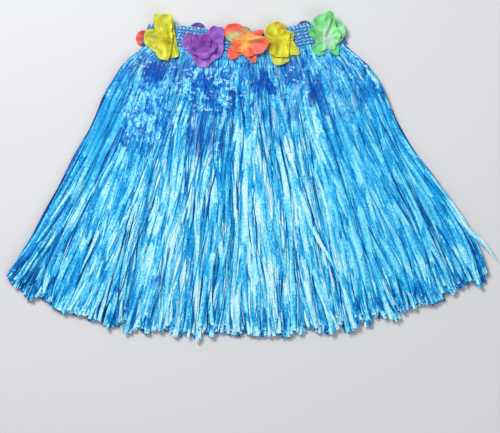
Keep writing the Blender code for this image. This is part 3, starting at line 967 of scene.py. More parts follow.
def lay_row(row):
    """Every strand of a row as one mesh, laid from its heading to its torn end."""
    draw = np.random.default_rng(row.seed)
    count = row.strands
    shares = np.linspace(0.0, 1.0, row.stations) ** STATION_CROWDING
    shares = shares * (1 + HEADING_SHARE) - HEADING_SHARE
    strands = drawn_strands(row, draw)
    along = shares * strands.length
    waves = draw.uniform(*WAVES_RANGE, (count, 1))
    phase = draw.uniform(0.0, math.tau, (2, count, 1))
    line, beside = strand_paths(strands, along, waves, phase[0], draw)
    wide = strip_widths(strands, shares, along, waves, phase[1])
    loft = row.loft * between(ROOT_LOFT, 1, eased(along, 0, LOFTED_BY))
    middle = layer_height(row.level, along) + STRIP_LIFT + strands.rank * loft
    points = np.empty((count, row.stations, SIDES, 3))
    for side, (flat, rise) in enumerate(strip_corners(wide, along, waves, phase[1], draw)):
        points[:, :, side, :2] = np.moveaxis(line + beside * flat, 0, -1)
        points[:, :, side, 2] = np.maximum(middle + rise, FLOOR_CLEAR + SIDE_STEP * side)

    paled = eased(along, strands.leaves - STRAY_PALES, strands.leaves)
    shade = between(strands.tone, STRAY_TONE, strands.pointed * (1 - paled))
    mesh = counted_copies(row.name, strip_chart(row.stations), count)
    station, side, copy = chart_of(mesh)
    across_strip = (1 - side) / 2 * strands.width[copy, 0] + copy * STRIP_OFFSET
    keep_uv(mesh, "strip", across_strip, along[copy, station] * STRAND_LENGTH)
    keep_values(mesh, tone=shade[copy, station], edge=side != 1, end=shares[station])
    laid = points[copy, station, side]
    return add_piece(row.name + "_strands", mesh, laid, raffia[row.slot], [row.name])


fringe = [lay_row(row) for row in FRINGE_ROWS]
for piece in fringe:
    print(piece.name, len(piece.data.polygons), "faces")


# %% [markdown]
# ## Sheets from a ring
# The waistband and every petal layer start alike: a ring of points is drawn out into more
# rings, and each point keeps its column and ring. The band's rings run up its height. A
# petal layer's rings run from its centre to its rim, and its middle is filled.

# %% Draw rings out of a ring
def ring_chart(name, columns, rings, capped):
    """A mesh whose points hold their column and ring. Ring 0 is a petal layer's centre."""
    bm = bmesh.new()
    bmesh.ops.create_circle(bm, cap_ends=capped, cap_tris=capped, segments=columns, radius=1)
    for vert in bm.verts:
        turn = math.atan2(vert.co.y, vert.co.x) / math.tau % 1
        on_rim = vert.co.length > 0.5
        vert.co = (round(turn * columns) % columns if on_rim else 0, 1 if on_rim else 0, 0)
    edges = [edge for edge in bm.edges if all(vert.co.y == 1 for vert in edge.verts)]
    for _ in range(rings - 1):
        drawn = bmesh.ops.extrude_edge_only(bm, edges=edges)["geom"]
        edges = [part for part in drawn if isinstance(part, bmesh.types.BMEdge)]
        edges = [edge for edge in edges if edge.is_boundary]
        verts = list({vert for edge in edges for vert in edge.verts})
        bmesh.ops.translate(bm, verts=verts, vec=(0, 1, 0))
    return mesh_from(name, bm)


def face_sheet(piece, upwards):
    """Turns a sheet's faces: up for a petal layer, out for the band's loop."""
    bm = bmesh.new()
    bm.from_mesh(piece.data)
    if upwards:
        bm.normal_update()
        if sum(face.normal.z * face.calc_area() for face in bm.faces) < 0:
            bmesh.ops.reverse_faces(bm, faces=bm.faces)
    else:
        bmesh.ops.recalc_face_normals(bm, faces=bm.faces)
    bm.to_mesh(piece.data)
    bm.free()
    piece.data.shade_smooth()


def give_wall(piece, thickness, offset):
    """A live modifier that gives a sheet its thickness."""
    wall = piece.modifiers.new("wall", "SOLIDIFY")
    wall.thickness = thickness
    wall.offset = offset


# %% [markdown]
# ## The waistband
# Thin elastic threads run round the band and gather its cloth into small puffs. From the
# front one sees six rows of pale puffs with dark dots between them, and a scalloped edge on
# top. The band itself is one loop pressed flat, with an open hollow. Its puffs are one small
# pillow, repeated, that lies on the front panel and round the top edge.

# %% Shape the band's loop
BAND_RINGS = 16
COLUMNS_PER_GATHER = 4
BACK_COLUMNS = 104
FOLD_COLUMNS = 7
BAND_CLOTH = 0.0006
ELASTIC_ROWS = 6
GATHER_DEPTH = 0.0006
CINCHED = 0.25
SCALLOP = 0.0007
SCALLOP_STARTS = 0.8


def band_place(across, share):
    """X and Y on a band panel: across from -1 to 1, share from its lower edge to its top."""
    half = between(WAIST_HALF_LOW, WAIST_HALF_TOP, share)
    rise = read_table(WAIST_RISE, "rise", across) + BAND_HEIGHT * share
    return WAIST_MIDDLE + half * across, rise


def band_columns():
    """The pressed loop seen from its edge: across, sideways offset, height and frontness."""
    fold = BAND_THICKNESS / 2
    middle = FLOOR_LIFT + fold
    fronts = GATHERS * COLUMNS_PER_GATHER
    turns = [math.pi * (0.5 - (k + 1) / (FOLD_COLUMNS + 1)) for k in range(FOLD_COLUMNS)]
    columns = [(2 * i / fronts - 1, 0.0, middle + fold, 1.0) for i in range(fronts + 1)]
    columns += [(1.0, fold * math.cos(t), middle + fold * math.sin(t), 0.0) for t in turns]
    backs = range(BACK_COLUMNS + 1)
    columns += [(1 - 2 * i / BACK_COLUMNS, 0.0, FLOOR_LIFT, 0.0) for i in backs]
    turns.reverse()
    columns += [(-1.0, -fold * math.cos(t), middle + fold * math.sin(t), 0.0) for t in turns]
    return np.array(columns)


def make_band(finish):
    """The band's pressed loop, gathered on its front and given a wall."""
    columns = band_columns()
    mesh = ring_chart("waistband_cloth", len(columns), BAND_RINGS, capped=False)
    column, ring, _ = chart_of(mesh)
    share = (ring - 1) / (BAND_RINGS - 1)
    across, sideways, height, front = columns[column].T
    x, y = band_place(across, share)
    gather = 0.5 + 0.5 * np.cos(math.pi * GATHERS * (across + 1))
    cinched = between(CINCHED, 1, np.abs(np.sin(math.pi * ELASTIC_ROWS * share)))
    height = height + front * GATHER_DEPTH * gather * cinched
    scallop = SCALLOP * front * gather * eased(share, SCALLOP_STARTS, 1)
    points = np.stack([x + sideways, y + scallop, height], axis=1)
    keep_uv(mesh, "cloth", column / COLUMNS_PER_GATHER, share * ELASTIC_ROWS)
    # The tone follows the cloth's relief, so its finish paints shade in the hollows and light on the
    # gathers
    keep_values(mesh, tone=gather * cinched)
    band = add_piece("waistband_cloth", mesh, points, finish, ["waistband"])
    face_sheet(band, upwards=False)
    give_wall(band, BAND_CLOTH, -1)
    return band


# %% Mix the band's finish and make the band
BAND_DARK = (18, 78, 160)
BAND_MID = (60, 144, 212)
BAND_WEIGHTS = {"tone": 0.5, "ribs": 0.5}
BAND_BUMP = (0.6, 0.0005)
RIB_PITCH = (7, 1.2, 1)


def band_finish():
    """Shirred cloth: deep blue, painted darker as shade in the hollows between the gathers and where
    the elastic pulls it in, paler on the raised gathers.
    """
    material, tree, shader = new_finish("elastic_cloth")
    cloth = put(tree, "UVMap", {}, uv_map="cloth")
    look = {"tone": own_value(tree, "tone"), "ribs": noise_on(tree, cloth, 1.0, 3.0, RIB_PITCH)}
    mixed = weighed(tree, 0.0, look, BAND_WEIGHTS)
    colour = blend_of(tree, mixed, paint(*BAND_DARK), paint(*BAND_MID))
    coat(tree, shader, colour, look["ribs"], *BAND_BUMP, Roughness=0.55)
    return material


band = make_band(band_finish())
print("the band:", len(band.data.polygons), "faces")

# %% Mix the finish of the puffs
PUFF_STOPS = (
    (0.00, (52, 134, 200)), (0.45, (110, 190, 230)), (0.80, (170, 224, 246)),
    (1.00, (222, 248, 255)),
)
PUFF_WEIGHTS = {"tone": 0.6, "fibres": 0.5}
PUFF_BUMP = (0.5, 0.0002)
FIBRE_SLANT = 0.6
FIBRE_PITCH = (2600, 500, 1)


def puff_finish():
    """The pale film yarn on the puffs, with slanting fibres."""
    material, tree, shader = new_finish("elastic_puffs")
    place = put(tree, "TexCoord", {}, "Object")
    turned = put(tree, "Mapping", {"Vector": place, "Rotation": (0, 0, FIBRE_SLANT)})
    fibres = noise_on(tree, turned, 1.0, 2.0, FIBRE_PITCH)
    look = {"tone": own_value(tree, "tone"), "fibres": fibres}
    value = weighed(tree, 0.0, look, PUFF_WEIGHTS)
    coat(tree, shader, ramp_of(tree, value, PUFF_STOPS), fibres, *PUFF_BUMP, Roughness=0.4)
    return material


# %% Lay the puffs on the band
PUFF_AROUND = 8
PUFF_RINGS = 5
PUFF_HALF_WIDE = 0.0028
PUFF_HALF_TALL = 0.00125
PUFF_HALF_HIGH = 0.00065
PUFF_LIFT = 0.00005
PUFF_SLANT = math.radians(33)
PUFF_TURN = math.radians(20)
EDGE_PUFF_SHARE = 1.02
PUFF_WIDE_RANGE = (0.62, 1.12)
PUFF_TALL_RANGE = (0.72, 1.15)
PUFF_SHIFT = 0.2
PUFF_SEED = 31


def make_puffs(finish):
    """A small pillow on every gather of every elastic row, and one on each scallop."""
    draw = np.random.default_rng(PUFF_SEED)
    rows = [(k + 0.5) / ELASTIC_ROWS for k in range(ELASTIC_ROWS)] + [EDGE_PUFF_SHARE]
    share, gather = np.meshgrid(rows, np.arange(GATHERS), indexing="ij")
    share, gather = share.ravel(), gather.ravel()
    count = len(share)
    across = (2 * gather + 1 + draw.uniform(-PUFF_SHIFT, PUFF_SHIFT, count)) / GATHERS - 1
    x, y = band_place(across, share)
    bm = bmesh.new()
    bmesh.ops.create_uvsphere(bm, u_segments=PUFF_AROUND, v_segments=PUFF_RINGS, radius=1)
    pillow = np.array([vert.co[:] for vert in bm.verts])
    for number, vert in enumerate(bm.verts):
        vert.co = (number, 0, 0)
    mesh = counted_copies("waistband_puffs", bm, count)
    point, _, copy = chart_of(mesh)
    half_wide = PUFF_HALF_WIDE * draw.uniform(*PUFF_WIDE_RANGE, count)[copy]
    half_tall = PUFF_HALF_TALL * draw.uniform(*PUFF_TALL_RANGE, count)[copy]
    slant = np.where(gather % 2 == 0, PUFF_SLANT, -PUFF_SLANT)
    turn = (slant + draw.uniform(-1.0, 1.0, count) * PUFF_TURN)[copy]
    local = pillow[point]
    wide, tall = local[:, 0] * half_wide, local[:, 1] * half_tall
    high = local[:, 2] * PUFF_HALF_HIGH
    points = np.stack(
        [
            x[copy] + wide * np.cos(turn) - tall * np.sin(turn),
            y[copy] + wide * np.sin(turn) + tall * np.cos(turn),
            FLOOR_LIFT + BAND_THICKNESS + PUFF_LIFT + high,
        ],
        axis=1,
    )
    keep_values(mesh, tone=draw.random(count)[copy])
    puffs = add_piece("waistband_puffs", mesh, points, finish, [])
    puffs.data.shade_smooth()
    return puffs


puffs = make_puffs(puff_finish())
print("the puffs:", len(puffs.data.polygons), "faces")

# %% [markdown]
# ## The headings
# Each row of strands is sewn to a narrow tape just below the band. The tape is a strip of
# squares drawn along the waist edge and given a wall. It hardly shows, but it holds the row.

# %% Make the tapes
TAPE_COLUMNS = 96
TAPE_WALL = 0.0003
TAPE_LIFT = 0.00025


def make_tape(row, finish):
    """The narrow tape that a row of strands is sewn to."""
    bm = bmesh.new()
    bmesh.ops.create_grid(bm, x_segments=TAPE_COLUMNS, y_segments=2, size=1)
    mesh = mesh_from(row.name + "_tape", bm)
    across, up, _ = points_of(mesh)
    x, y = fan_places(across, np.zeros_like(across))
    y = y + HEADING_HEIGHT * (up + 1) / 2
    height = layer_height(row.level, 0.0) + TAPE_LIFT
    points = np.stack([x, y, np.full_like(x, height)], axis=1)
    keep_uv(mesh, "cloth", across * GATHERS / 2, up)
    keep_values(mesh, tone=np.full(len(x), 0.5))
    tape = add_piece(row.name + "_tape", mesh, points, finish, [])
    face_sheet(tape, upwards=True)
    give_wall(tape, TAPE_WALL, 0)
    return tape


tapes = [make_tape(row, bpy.data.materials["elastic_cloth"]) for row in FRINGE_ROWS]
print(len(tapes), "tapes")

# %% [markdown]
# ## The flowers
# A silk flower is two stamped layers of thin cloth, sewn through the middle, and the purple
# one has a small heart inside. The heat of the stamp leaves them as shallow bowls with soft
# creases and lapped petals, whose troughs get painted shade and whose ridges get painted light.
# Their rims are read round the compass: a heading and how far the cloth reaches there. Creases
# are laid between two points, and the dye runs from spot to spot, as on hand-dyed silk; a few
# dark spots are painted shadow and shade instead. All of it is in millimetres from the
# flower's own middle.

# %% Rims of the ten open layers
PETAL_WALL = 0.001
SILK = 0.0003
FLOWER_GAP = 0.0006
LAYER_GAP = 0.0004
FLOWER_BASE = FLOOR_LIFT + BAND_THICKNESS + GATHER_DEPTH + FLOWER_GAP
UPPER_BASE = FLOWER_BASE + PETAL_WALL + LAYER_GAP
LOW_LIFT = 0.0045
HIGH_LIFT = 0.0095
ROSETTE_LIFT = 0.0200
HEART_LIFT = 0.0170
HEART_RISE = 0.0022

Centre = namedtuple("Centre", "x y")
YELLOW_LEFT = Centre(-0.1094, 0.0151)
PURPLE = Centre(-0.0570, 0.0085)
RAINBOW = Centre(-0.0020, 0.0124)
YELLOW_RIGHT = Centre(0.0413, 0.0138)
GREEN = Centre(0.1055, 0.0138)

Ruffles = namedtuple("Ruffles", "count height swirl")
LOWER = (FLOWER_BASE, LOW_LIFT, Ruffles(9, 0.0010, 0.6))
UPPER = (UPPER_BASE, HIGH_LIFT, Ruffles(11, 0.0014, 1.2))
ROSETTE = (UPPER_BASE, ROSETTE_LIFT, Ruffles(7, 0.0027, 3.4))
HEART = (UPPER_BASE + HEART_RISE, HEART_LIFT, Ruffles(6, 0.0042, 2.6))
HEART_CENTRE = Centre(PURPLE.x - 0.0010, PURPLE.y + 0.0015)

Layer = namedtuple("Layer", "name slot centre base lift ruffles rim")
OPEN_LAYERS = (
    Layer("yellow_left_lower", "yellow", YELLOW_LEFT, *LOWER, (
        (0, 17.5), (22, 17.5), (45, 21), (58, 27), (67, 32.5), (80, 24), (100, 20), (122, 15),
        (143, 22.5), (157, 25), (175, 24.5), (190, 24.2), (204, 22), (220, 19.8), (242, 19),
        (265, 20), (288, 23), (302, 28.5), (313, 30), (325, 25), (342, 19.5),
    )),
    Layer("yellow_left_upper", "yellow", YELLOW_LEFT, *UPPER, (
        (5, 13), (30, 15), (52, 20), (60, 27), (67, 32.4), (73, 34.2), (82, 33), (98, 33.2),
        (106.5, 34.8), (111, 31), (119, 24.5), (128, 15.5), (148, 15), (170, 19), (195, 19),
        (222, 16), (240, 19), (251, 23), (268, 26.5), (285, 27), (297, 22), (315, 16), (340, 13),
    )),
    Layer("purple_lower", "purple", PURPLE, *LOWER, (
        (5, 27), (20, 29), (31, 32), (39, 35), (50, 30), (63, 27), (70, 20), (95, 11), (126, 14),
        (140, 24), (158, 26.3), (173, 27.7), (187, 25.8), (206, 21.5), (228, 21.8), (244, 25.5),
        (257, 28), (270, 29.8), (283, 29.5), (296, 26), (314, 25.5), (330, 28.5), (345, 27.5),
    )),
    Layer("purple_upper", "violet", PURPLE, *ROSETTE, (
        (0, 17.5), (25, 16), (50, 15.5), (72, 14), (90, 13.5), (112, 12), (135, 19), (150, 20),
        (172, 17), (190, 19), (212, 19.5), (240, 16), (262, 18), (285, 19), (312, 16), (338, 18),
    )),
    Layer("rainbow_lower", "coral", RAINBOW, *LOWER, (
        (5, 20), (20, 23), (31, 28.5), (41, 23.5), (52, 15.5), (70, 14), (82, 19.5), (97, 20),
        (105, 23), (119, 27), (136, 31.5), (150, 31.5), (165, 28), (178, 19.5), (198, 20),
        (213, 27.5), (228, 30), (242, 25), (254, 18), (270, 19), (280, 23), (290, 29.5),
        (299, 30), (309, 24), (328, 21), (346, 20),
    )),
    Layer("rainbow_upper", "orange", RAINBOW, *UPPER, (
        (5, 31), (15, 24), (32, 15), (52, 14), (70, 16), (88, 11), (120, 11), (150, 14),
        (180, 16), (202, 20), (225, 19), (250, 15), (270, 18), (290, 21), (306, 21), (325, 26.5),
        (338, 29), (351, 30.5),
    )),
    Layer("yellow_right_lower", "yellow", YELLOW_RIGHT, *LOWER, (
        (0, 20), (26, 22.5), (40, 20), (55, 18.5), (65, 22), (74, 24), (90, 20), (120, 17),
        (150, 16.5), (180, 14), (204, 17), (222, 19), (240, 19), (248, 24.5), (257, 30),
        (270, 32.5), (285, 31.5), (298, 29.8), (309, 25), (318, 28), (326, 33), (334, 30),
        (346, 23.5),
    )),
    Layer("yellow_right_upper", "yellow", YELLOW_RIGHT, *UPPER, (
        (0, 15), (28, 17), (52, 16.5), (74, 19), (88, 24.5), (105, 24.3), (122, 23.9), (139, 22),
        (156, 20), (170, 11), (205, 10.5), (238, 19), (262, 21.5), (285, 22.5), (302, 24.5),
        (316, 20), (338, 16),
    )),
    Layer("green_lower", "green", GREEN, *LOWER, (
        (0, 19), (19, 24.5), (34, 28), (48, 29.8), (62, 30), (73, 26), (92, 20), (118, 20),
        (136, 23), (148, 28), (155, 27), (166, 21.5), (189, 14.8), (203, 22), (216, 24.4),
        (232, 24), (250, 21), (272, 11), (286, 14), (299, 22), (308, 24), (320, 20), (345, 16),
    )),
    Layer("green_upper", "green", GREEN, *UPPER, (
        (0, 16), (20, 18.5), (42, 21), (60, 22), (69, 28), (76, 35), (85, 38.3), (95, 36.2),
        (106, 35.2), (119, 33.9), (130, 32.2), (139, 22), (162, 15), (190, 11), (215, 17),
        (245, 15), (272, 9), (300, 15), (335, 13),
    )),
)
PURPLE_HEART = Layer("purple_heart", "violet", HEART_CENTRE, *HEART, (
    (0, 11), (40, 12.5), (75, 10), (110, 9.5), (150, 12), (195, 13), (235, 10.5), (275, 12),
    (320, 11.5),
))
print(len(OPEN_LAYERS), "open layers and the purple flower's heart")

# %% Creases of the layers
FOLDS = {
    "yellow_left_upper": (
        (9, 31, 12, 2, 1.8, 2.2), (12, 2, 15, -18, 1.4, 2.0), (2, 0, 8, -5, -1.6, 2.4),
        (-3, 14, 3, 0, 1.2, 2.4), (-16, 6, -5, 1, -1.0, 2.2), (-8, -10, -1, -17, -1.0, 2.0),
        (3, -8, 4, -22, 1.1, 2.2), (-12, 16, -4, 9, 1.0, 1.8), (6, 12, 8, 0, -1.3, 1.8),
        (-3, -2, 3, -9, 1.2, 1.8),
    ),
    "yellow_left_lower": (
        (-20, -5, -8, -12, 0.7, 2.4), (-2, -14, 7, -22, -0.7, 2.2), (14, -10, 18, -22, 0.8, 2.0),
        (-18, 8, -8, 6, -0.6, 2.0),
    ),
    "purple_upper": (
        (-2, 10, 8, 7, 1.6, 2.0), (-9, 3, 2, -2, -1.8, 2.0), (4, -3, 12, -8, 1.7, 2.0),
        (-7, -10, 3, -12, 1.5, 2.0), (-1, 4, 4, 1, -1.2, 1.8), (6, 3, 10, -1, -1.4, 1.8),
        (-14, 8, -9, -1, 1.3, 1.8), (-12, -6, -6, -12, -1.3, 1.8), (6, -12, 13, -3, 1.2, 1.8),
        (-4, -14, 6, -14, 1.0, 1.6),
    ),
    "purple_lower": (
        (12, 12, 24, 20, 0.9, 2.4), (10, 18, 18, 26, -0.8, 2.0), (-12, 6, -24, 4, 0.7, 2.2),
        (-8, -16, -5, -26, -0.8, 2.2), (3, -16, 5, -27, 0.8, 2.2), (16, -10, 24, -12, -0.7, 2.2),
        (14, 2, 25, 3, 1.0, 1.8), (15, 7, 25, 11, -0.9, 1.8), (8, 15, 13, 27, 1.0, 1.8),
        (-14, -4, -25, -7, 0.9, 1.8), (13, -14, 19, -20, 0.9, 1.8), (-12, 12, -20, 17, -0.9, 1.8),
    ),
    "rainbow_upper": (
        (4, 2, 28, 6, 1.6, 2.0), (6, -1, 24, -1, -1.3, 2.2), (-2, 3, -12, 2, 1.0, 2.0),
        (2, -4, 5, -16, 1.2, 2.0), (-4, -4, -12, -10, -0.9, 2.0), (10, -8, 22, -9, 0.9, 2.4),
        (6, 8, 16, 9, 1.1, 1.6), (4, -8, 12, -16, -1.1, 1.8), (-2, -8, -3, -17, 0.9, 1.8),
        (14, 0, 27, 2, -0.9, 1.6),
    ),
    "rainbow_lower": (
        (-8, 8, -22, 16, 0.8, 2.6), (-6, 12, -13, 22, -0.8, 2.2), (-8, -10, -19, -18, 0.8, 2.4),
        (5, -12, 9, -24, -0.7, 2.0), (10, 8, 21, 13, 0.7, 2.2),
    ),
    "yellow_right_upper": (
        (-5, 20, -1, 6, 1.3, 2.2), (1, 22, 5, 6, -1.0, 2.0), (-14, 9, -5, 4, -1.0, 2.2),
        (4, 1, 5, -14, 1.5, 2.0), (0, -4, -1, -17, -1.2, 2.0), (9, -3, 12, -16, 1.0, 2.0),
        (-10, 17, -3, 8, 0.9, 1.8), (8, 18, 9, 8, -1.1, 1.8), (-8, -2, -8, -13, -0.9, 1.8),
        (4, 12, 12, 2, 1.0, 1.8),
    ),
    "yellow_right_lower": (
        (5, -14, 3, -28, 0.9, 2.4), (12, -10, 24, -16, 0.9, 2.2), (12, 4, 19, 8, -0.6, 2.0),
        (-6, -12, -5, -19, -0.7, 2.2),
    ),
    "green_upper": (
        (-1, 5, 7, 27, -2.7, 1.7), (-8, 12, -18, 22, 1.2, 2.6), (-3, 8, -4, 28, 1.1, 2.0),
        (4, 6, 12, 22, 1.0, 2.0), (-10, 4, -20, 9, -0.9, 2.0), (-3, -6, -3, 6, 1.2, 1.6),
        (2, 10, 4, 34, 1.1, 2.4), (5, 4, 13, 8, 1.0, 2.2), (-4, 1, -8, 10, -0.9, 2.0),
        (2, -2, 1, -8, -1.2, 2.0),
    ),
    "green_lower": (
        (8, 8, 22, 18, 0.9, 2.6), (10, 2, 20, 4, -0.8, 2.2), (-6, -8, -15, -15, 0.8, 2.4),
        (7, -9, 12, -18, 0.7, 2.2), (-12, 8, -22, 14, -0.7, 2.2),
    ),
}
FOLDS = {name: table("x0 y0 x1 y1 height width", *rows) for name, rows in FOLDS.items()}
print(sum(len(folds) for folds in FOLDS.values()), "creases")

# %% Dye spots and painted shade spots of the layers, the first one under all the others
DYE_AND_SHADE_SPOTS = {
    "yellow_left": (
        # The spot at (5, -3) is a painted shadow in the hollow by the curled inner petal
        (0, 0, 60, 210, 208, 50), (5, -3, 5, 168, 158, 16), (-6, -18, 7, 224, 224, 90),
        (16, -12, 6, 186, 184, 40), (0, 27, 9, 216, 214, 76), (-16, 2, 7, 212, 214, 84),
    ),
    "purple_lower": (
        (0, 0, 60, 160, 104, 206), (16, 16, 9, 150, 92, 192), (4, -26, 8, 168, 112, 212),
        (-20, 6, 8, 150, 96, 188),
    ),
    "purple_upper": (
        # The dark spots at (5, 7), (-6, -2) and (10, -2) are painted shade in the rosette's folds
        (0, 0, 60, 152, 88, 190), (5, 7, 5, 120, 54, 146), (-6, -2, 5, 124, 60, 152),
        (2, -12, 6, 152, 92, 184), (10, -2, 4, 112, 56, 140),
    ),
    "purple_heart": ((0, 0, 60, 146, 78, 178), (0, 0, 4, 104, 44, 130), (-8, 4, 4, 160, 92, 196)),
    "rainbow_lower": (
        (0, 0, 60, 252, 108, 88), (-19, 21, 8, 255, 84, 80), (-13, 5, 7, 170, 218, 150),
        (-19, 7, 4, 186, 222, 160), (3, 18, 4, 84, 176, 110), (7, 13, 3, 236, 196, 160),
        (20, 14, 8, 244, 84, 78), (-16, -15, 9, 252, 90, 82), (-6, -10, 6, 240, 150, 90),
        (10, -24, 8, 240, 106, 88), (2, -16, 4, 206, 196, 110),
    ),
    "rainbow_upper": (
        (0, 0, 60, 250, 134, 78), (2, 3, 6, 232, 186, 84), (-1, -6, 4, 238, 196, 96),
        (18, -7, 8, 255, 112, 116), (28, 5, 8, 250, 122, 66), (-12, -3, 7, 252, 104, 74),
        (14, 5, 6, 214, 180, 96), (7, -17, 6, 240, 104, 84), (-10, 7, 4, 186, 214, 138),
    ),
    "yellow_right_lower": (
        # The spot at (-18, -10) is a painted shadow under the rainbow flower's petal
        (0, 0, 60, 210, 200, 48), (4, -27, 8, 196, 206, 84), (-18, -10, 6, 186, 146, 66),
        (18, 6, 5, 168, 188, 64), (24, -17, 7, 206, 208, 60),
    ),
    "yellow_right_upper": (
        (0, 0, 60, 218, 208, 42), (7, 21, 4, 244, 162, 74), (0, -6, 5, 172, 160, 26),
        (-12, 12, 7, 214, 212, 72), (6, -12, 6, 214, 214, 64),
    ),
    "green_lower": (
        (0, 0, 60, 116, 216, 140), (14, -16, 7, 80, 204, 126), (-14, -14, 7, 84, 208, 138),
        (22, 16, 8, 150, 226, 158), (-22, 12, 7, 92, 204, 116), (0, -6, 7, 182, 206, 202),
    ),
    "green_upper": (
        (0, 0, 60, 138, 228, 146), (1, 1, 6, 204, 216, 218), (0, 11, 4, 204, 226, 214),
        (2, 19, 3, 186, 226, 196), (-9, -2, 4, 112, 214, 140), (6, 34, 7, 126, 220, 130),
        (-16, 22, 8, 132, 222, 140), (-20, 30, 5, 190, 240, 200), (12, 8, 6, 150, 228, 158),
    ),
    "back_red": ((0, 0, 60, 220, 92, 72), (-27, 0, 6, 236, 110, 84), (-18, 4, 5, 196, 64, 58)),
    "back_purple_left": (
        (0, 0, 60, 104, 78, 166), (-6, 22, 6, 92, 66, 150), (8, 20, 6, 118, 88, 178),
    ),
    "back_green": ((0, 0, 60, 96, 176, 96), (2, 24, 5, 118, 196, 110), (-4, 14, 6, 64, 130, 84)),
    "back_purple_right": ((0, 0, 60, 96, 78, 158), (4, 24, 6, 88, 72, 150)),
}
DYE_AND_SHADE_SPOTS = {name: table("x y spread red green blue", *rows) for name, rows in DYE_AND_SHADE_SPOTS.items()}


def colour_spots_of(name):
    """A layer's own dye spots, or those of its whole flower."""
    return DYE_AND_SHADE_SPOTS.get(name) or DYE_AND_SHADE_SPOTS[name.rsplit("_", 1)[0]]


print(sum(len(spot_rows) for spot_rows in DYE_AND_SHADE_SPOTS.values()), "dye spots")

# %% [markdown]
# ## The finish of the silk
# The cloth is a plain weave, dyed unevenly. The stamp presses veins into it that fan out from
# the middle, and the cut rim is a little paler where its threads fray. The dye is an
# attribute of the points, so its spots stay where they were laid.

# %% Mix the silk
VEIN_PITCH = (46, 2.2, 1)
UNEVEN_SCALE = 130.0
UNEVEN_SHADE = {"From Min": 0.7, "From Max": 1.3, "To Min": 0.80, "To Max": 1.12}
WEAVE_PITCH = 0.0005
BANDS_PER_SCALE = 20
WEAVE_HEIGHT = 0.12
FOLD_SHADE = 0.40
RIM_COLOUR = (0.9, 0.9, 0.86, 1.0)
RIM_COVER = 0.10
RIM_RANGE = (0.95, 1.0)
SILK_BUMP = (0.7, 0.0008)
SILKS = ("yellow", "purple", "violet", "coral", "orange", "green", "red")


def silk_finish(name):
    """Dyed plain weave with veins, with painted shade in the troughs of its creases and ruffles,
    painted light on their ridges, and paler at its cut rim.
    """
    material, tree, shader = new_finish(name)
    petal = put(tree, "UVMap", {}, uv_map="petal")
    place = put(tree, "TexCoord", {}, "Object")
    veins = noise_on(tree, petal, 1.0, 3.0, VEIN_PITCH)
    uneven = plus(tree, veins, noise_on(tree, place, UNEVEN_SCALE, 3.0))
    shade = put(tree, "MapRange", {"Value": uneven, **UNEVEN_SHADE})
    # Painted shade and light: the fold value darkens troughs and lightens ridges
    folded = plus(tree, times(tree, own_value(tree, "fold"), FOLD_SHADE), 1.0)
    shade = times(tree, shade, folded)
    inputs = {0: own_value(tree, "dye", "Color"), "Scale": shade}
    shaded = put(tree, "VectorMath", inputs, operation="SCALE")
    rim = share_between(tree, part_of(tree, petal, "Y"), *RIM_RANGE)
    colour = blend_of(tree, times(tree, rim, RIM_COVER), shaded, RIM_COLOUR)
    inputs = {"Vector": place, "Scale": 1 / WEAVE_PITCH / BANDS_PER_SCALE, "Distortion": 0.4}
    threads = [put(tree, "TexWave", inputs, "Fac", bands_direction=way) for way in ("X", "Y")]
    weave = times(tree, plus(tree, *threads), WEAVE_HEIGHT)
    inputs = {"Roughness": 0.62, "Specular IOR Level": 0.2, "Sheen Weight": 0.15}
    coat(tree, shader, colour, plus(tree, weave, veins), *SILK_BUMP, **inputs)
    return material


silk = {slot: silk_finish("silk_" + slot) for slot in SILKS}
print(len(silk), "silks")

# %% Read a rim, its petals and its creases
BOWL_RADIUS = 0.030
BOWL_CURVE = 1.7
FOLD_DEPTH = 0.0007
BOWL_FOLDS = 3
PETAL_OVERLAP = 0.0014
CLOTH_CRUMPLE = 0.00060
CLOTH_WAVES = table("x y start", (560, 190, 0.0), (-310, 480, 1.0), (240, -620, 2.2))
RIM_FRILL = 0.009
RIM_WAVES = 17
RIM_DRIFT = 2
RIM_DRIFTS = 5
CREASE_DEEPER = 1.5
CREASE_SLIMMER = 0.85
CREASE_SHARPNESS = 1.4
CREASE_FULL = 0.0022
RUFFLE_SHADE = 0.45
BASE_DYE = 0.25

# How fast each form comes up from a layer's flat middle
CREASE_RISE = 3
LAP_RISE = 1.4
CRUMPLE_RISE = 2


def rim_reach(rim, heading):
    """The cloth's reach at each heading, on a smooth closed curve through the rim's rows."""
    before = (rim[-1][0] - 360, rim[-1][1])
    after = [(row[0] + 360, row[1]) for row in rim[:2]]
    closed = table("heading reach", before, *rim, *after)
    turned = np.where(heading < before[0], heading + 360, heading)
    return read_table(closed, "reach", turned) * MM


def petal_steps(rim, heading):
    """How far a heading is between two notches of the rim, from 0 to 1 within each petal."""
    headings, reach = np.array(rim).T
    notches = headings[(reach <= np.roll(reach, 1)) & (reach < np.roll(reach, -1))]
    places = np.array([notches[-1] - 360, *notches, notches[0] + 360])
    k = np.clip(np.searchsorted(places, heading, side="right") - 1, 0, len(places) - 2)
    return (heading - places[k]) / (places[k + 1] - places[k])


def crease_height(folds, x, y):
    """The listed creases as soft ridges and troughs, fading at both ends."""
    total = np.zeros_like(x)
    for fold in folds:
        start = np.array((fold.x0, fold.y0)) * MM
        run = np.array((fold.x1, fold.y1)) * MM - start
        t = ((x - start[0]) * run[0] + (y - start[1]) * run[1]) / (run @ run)
        held = np.clip(t, 0.0, 1.0)
        off = np.hypot(x - start[0] - run[0] * held, y - start[1] - run[1] * held)
        near = np.exp(-((off / (fold.width * CREASE_SLIMMER * MM)) ** CREASE_SHARPNESS))
        total += fold.height * CREASE_DEEPER * MM * near
    return total


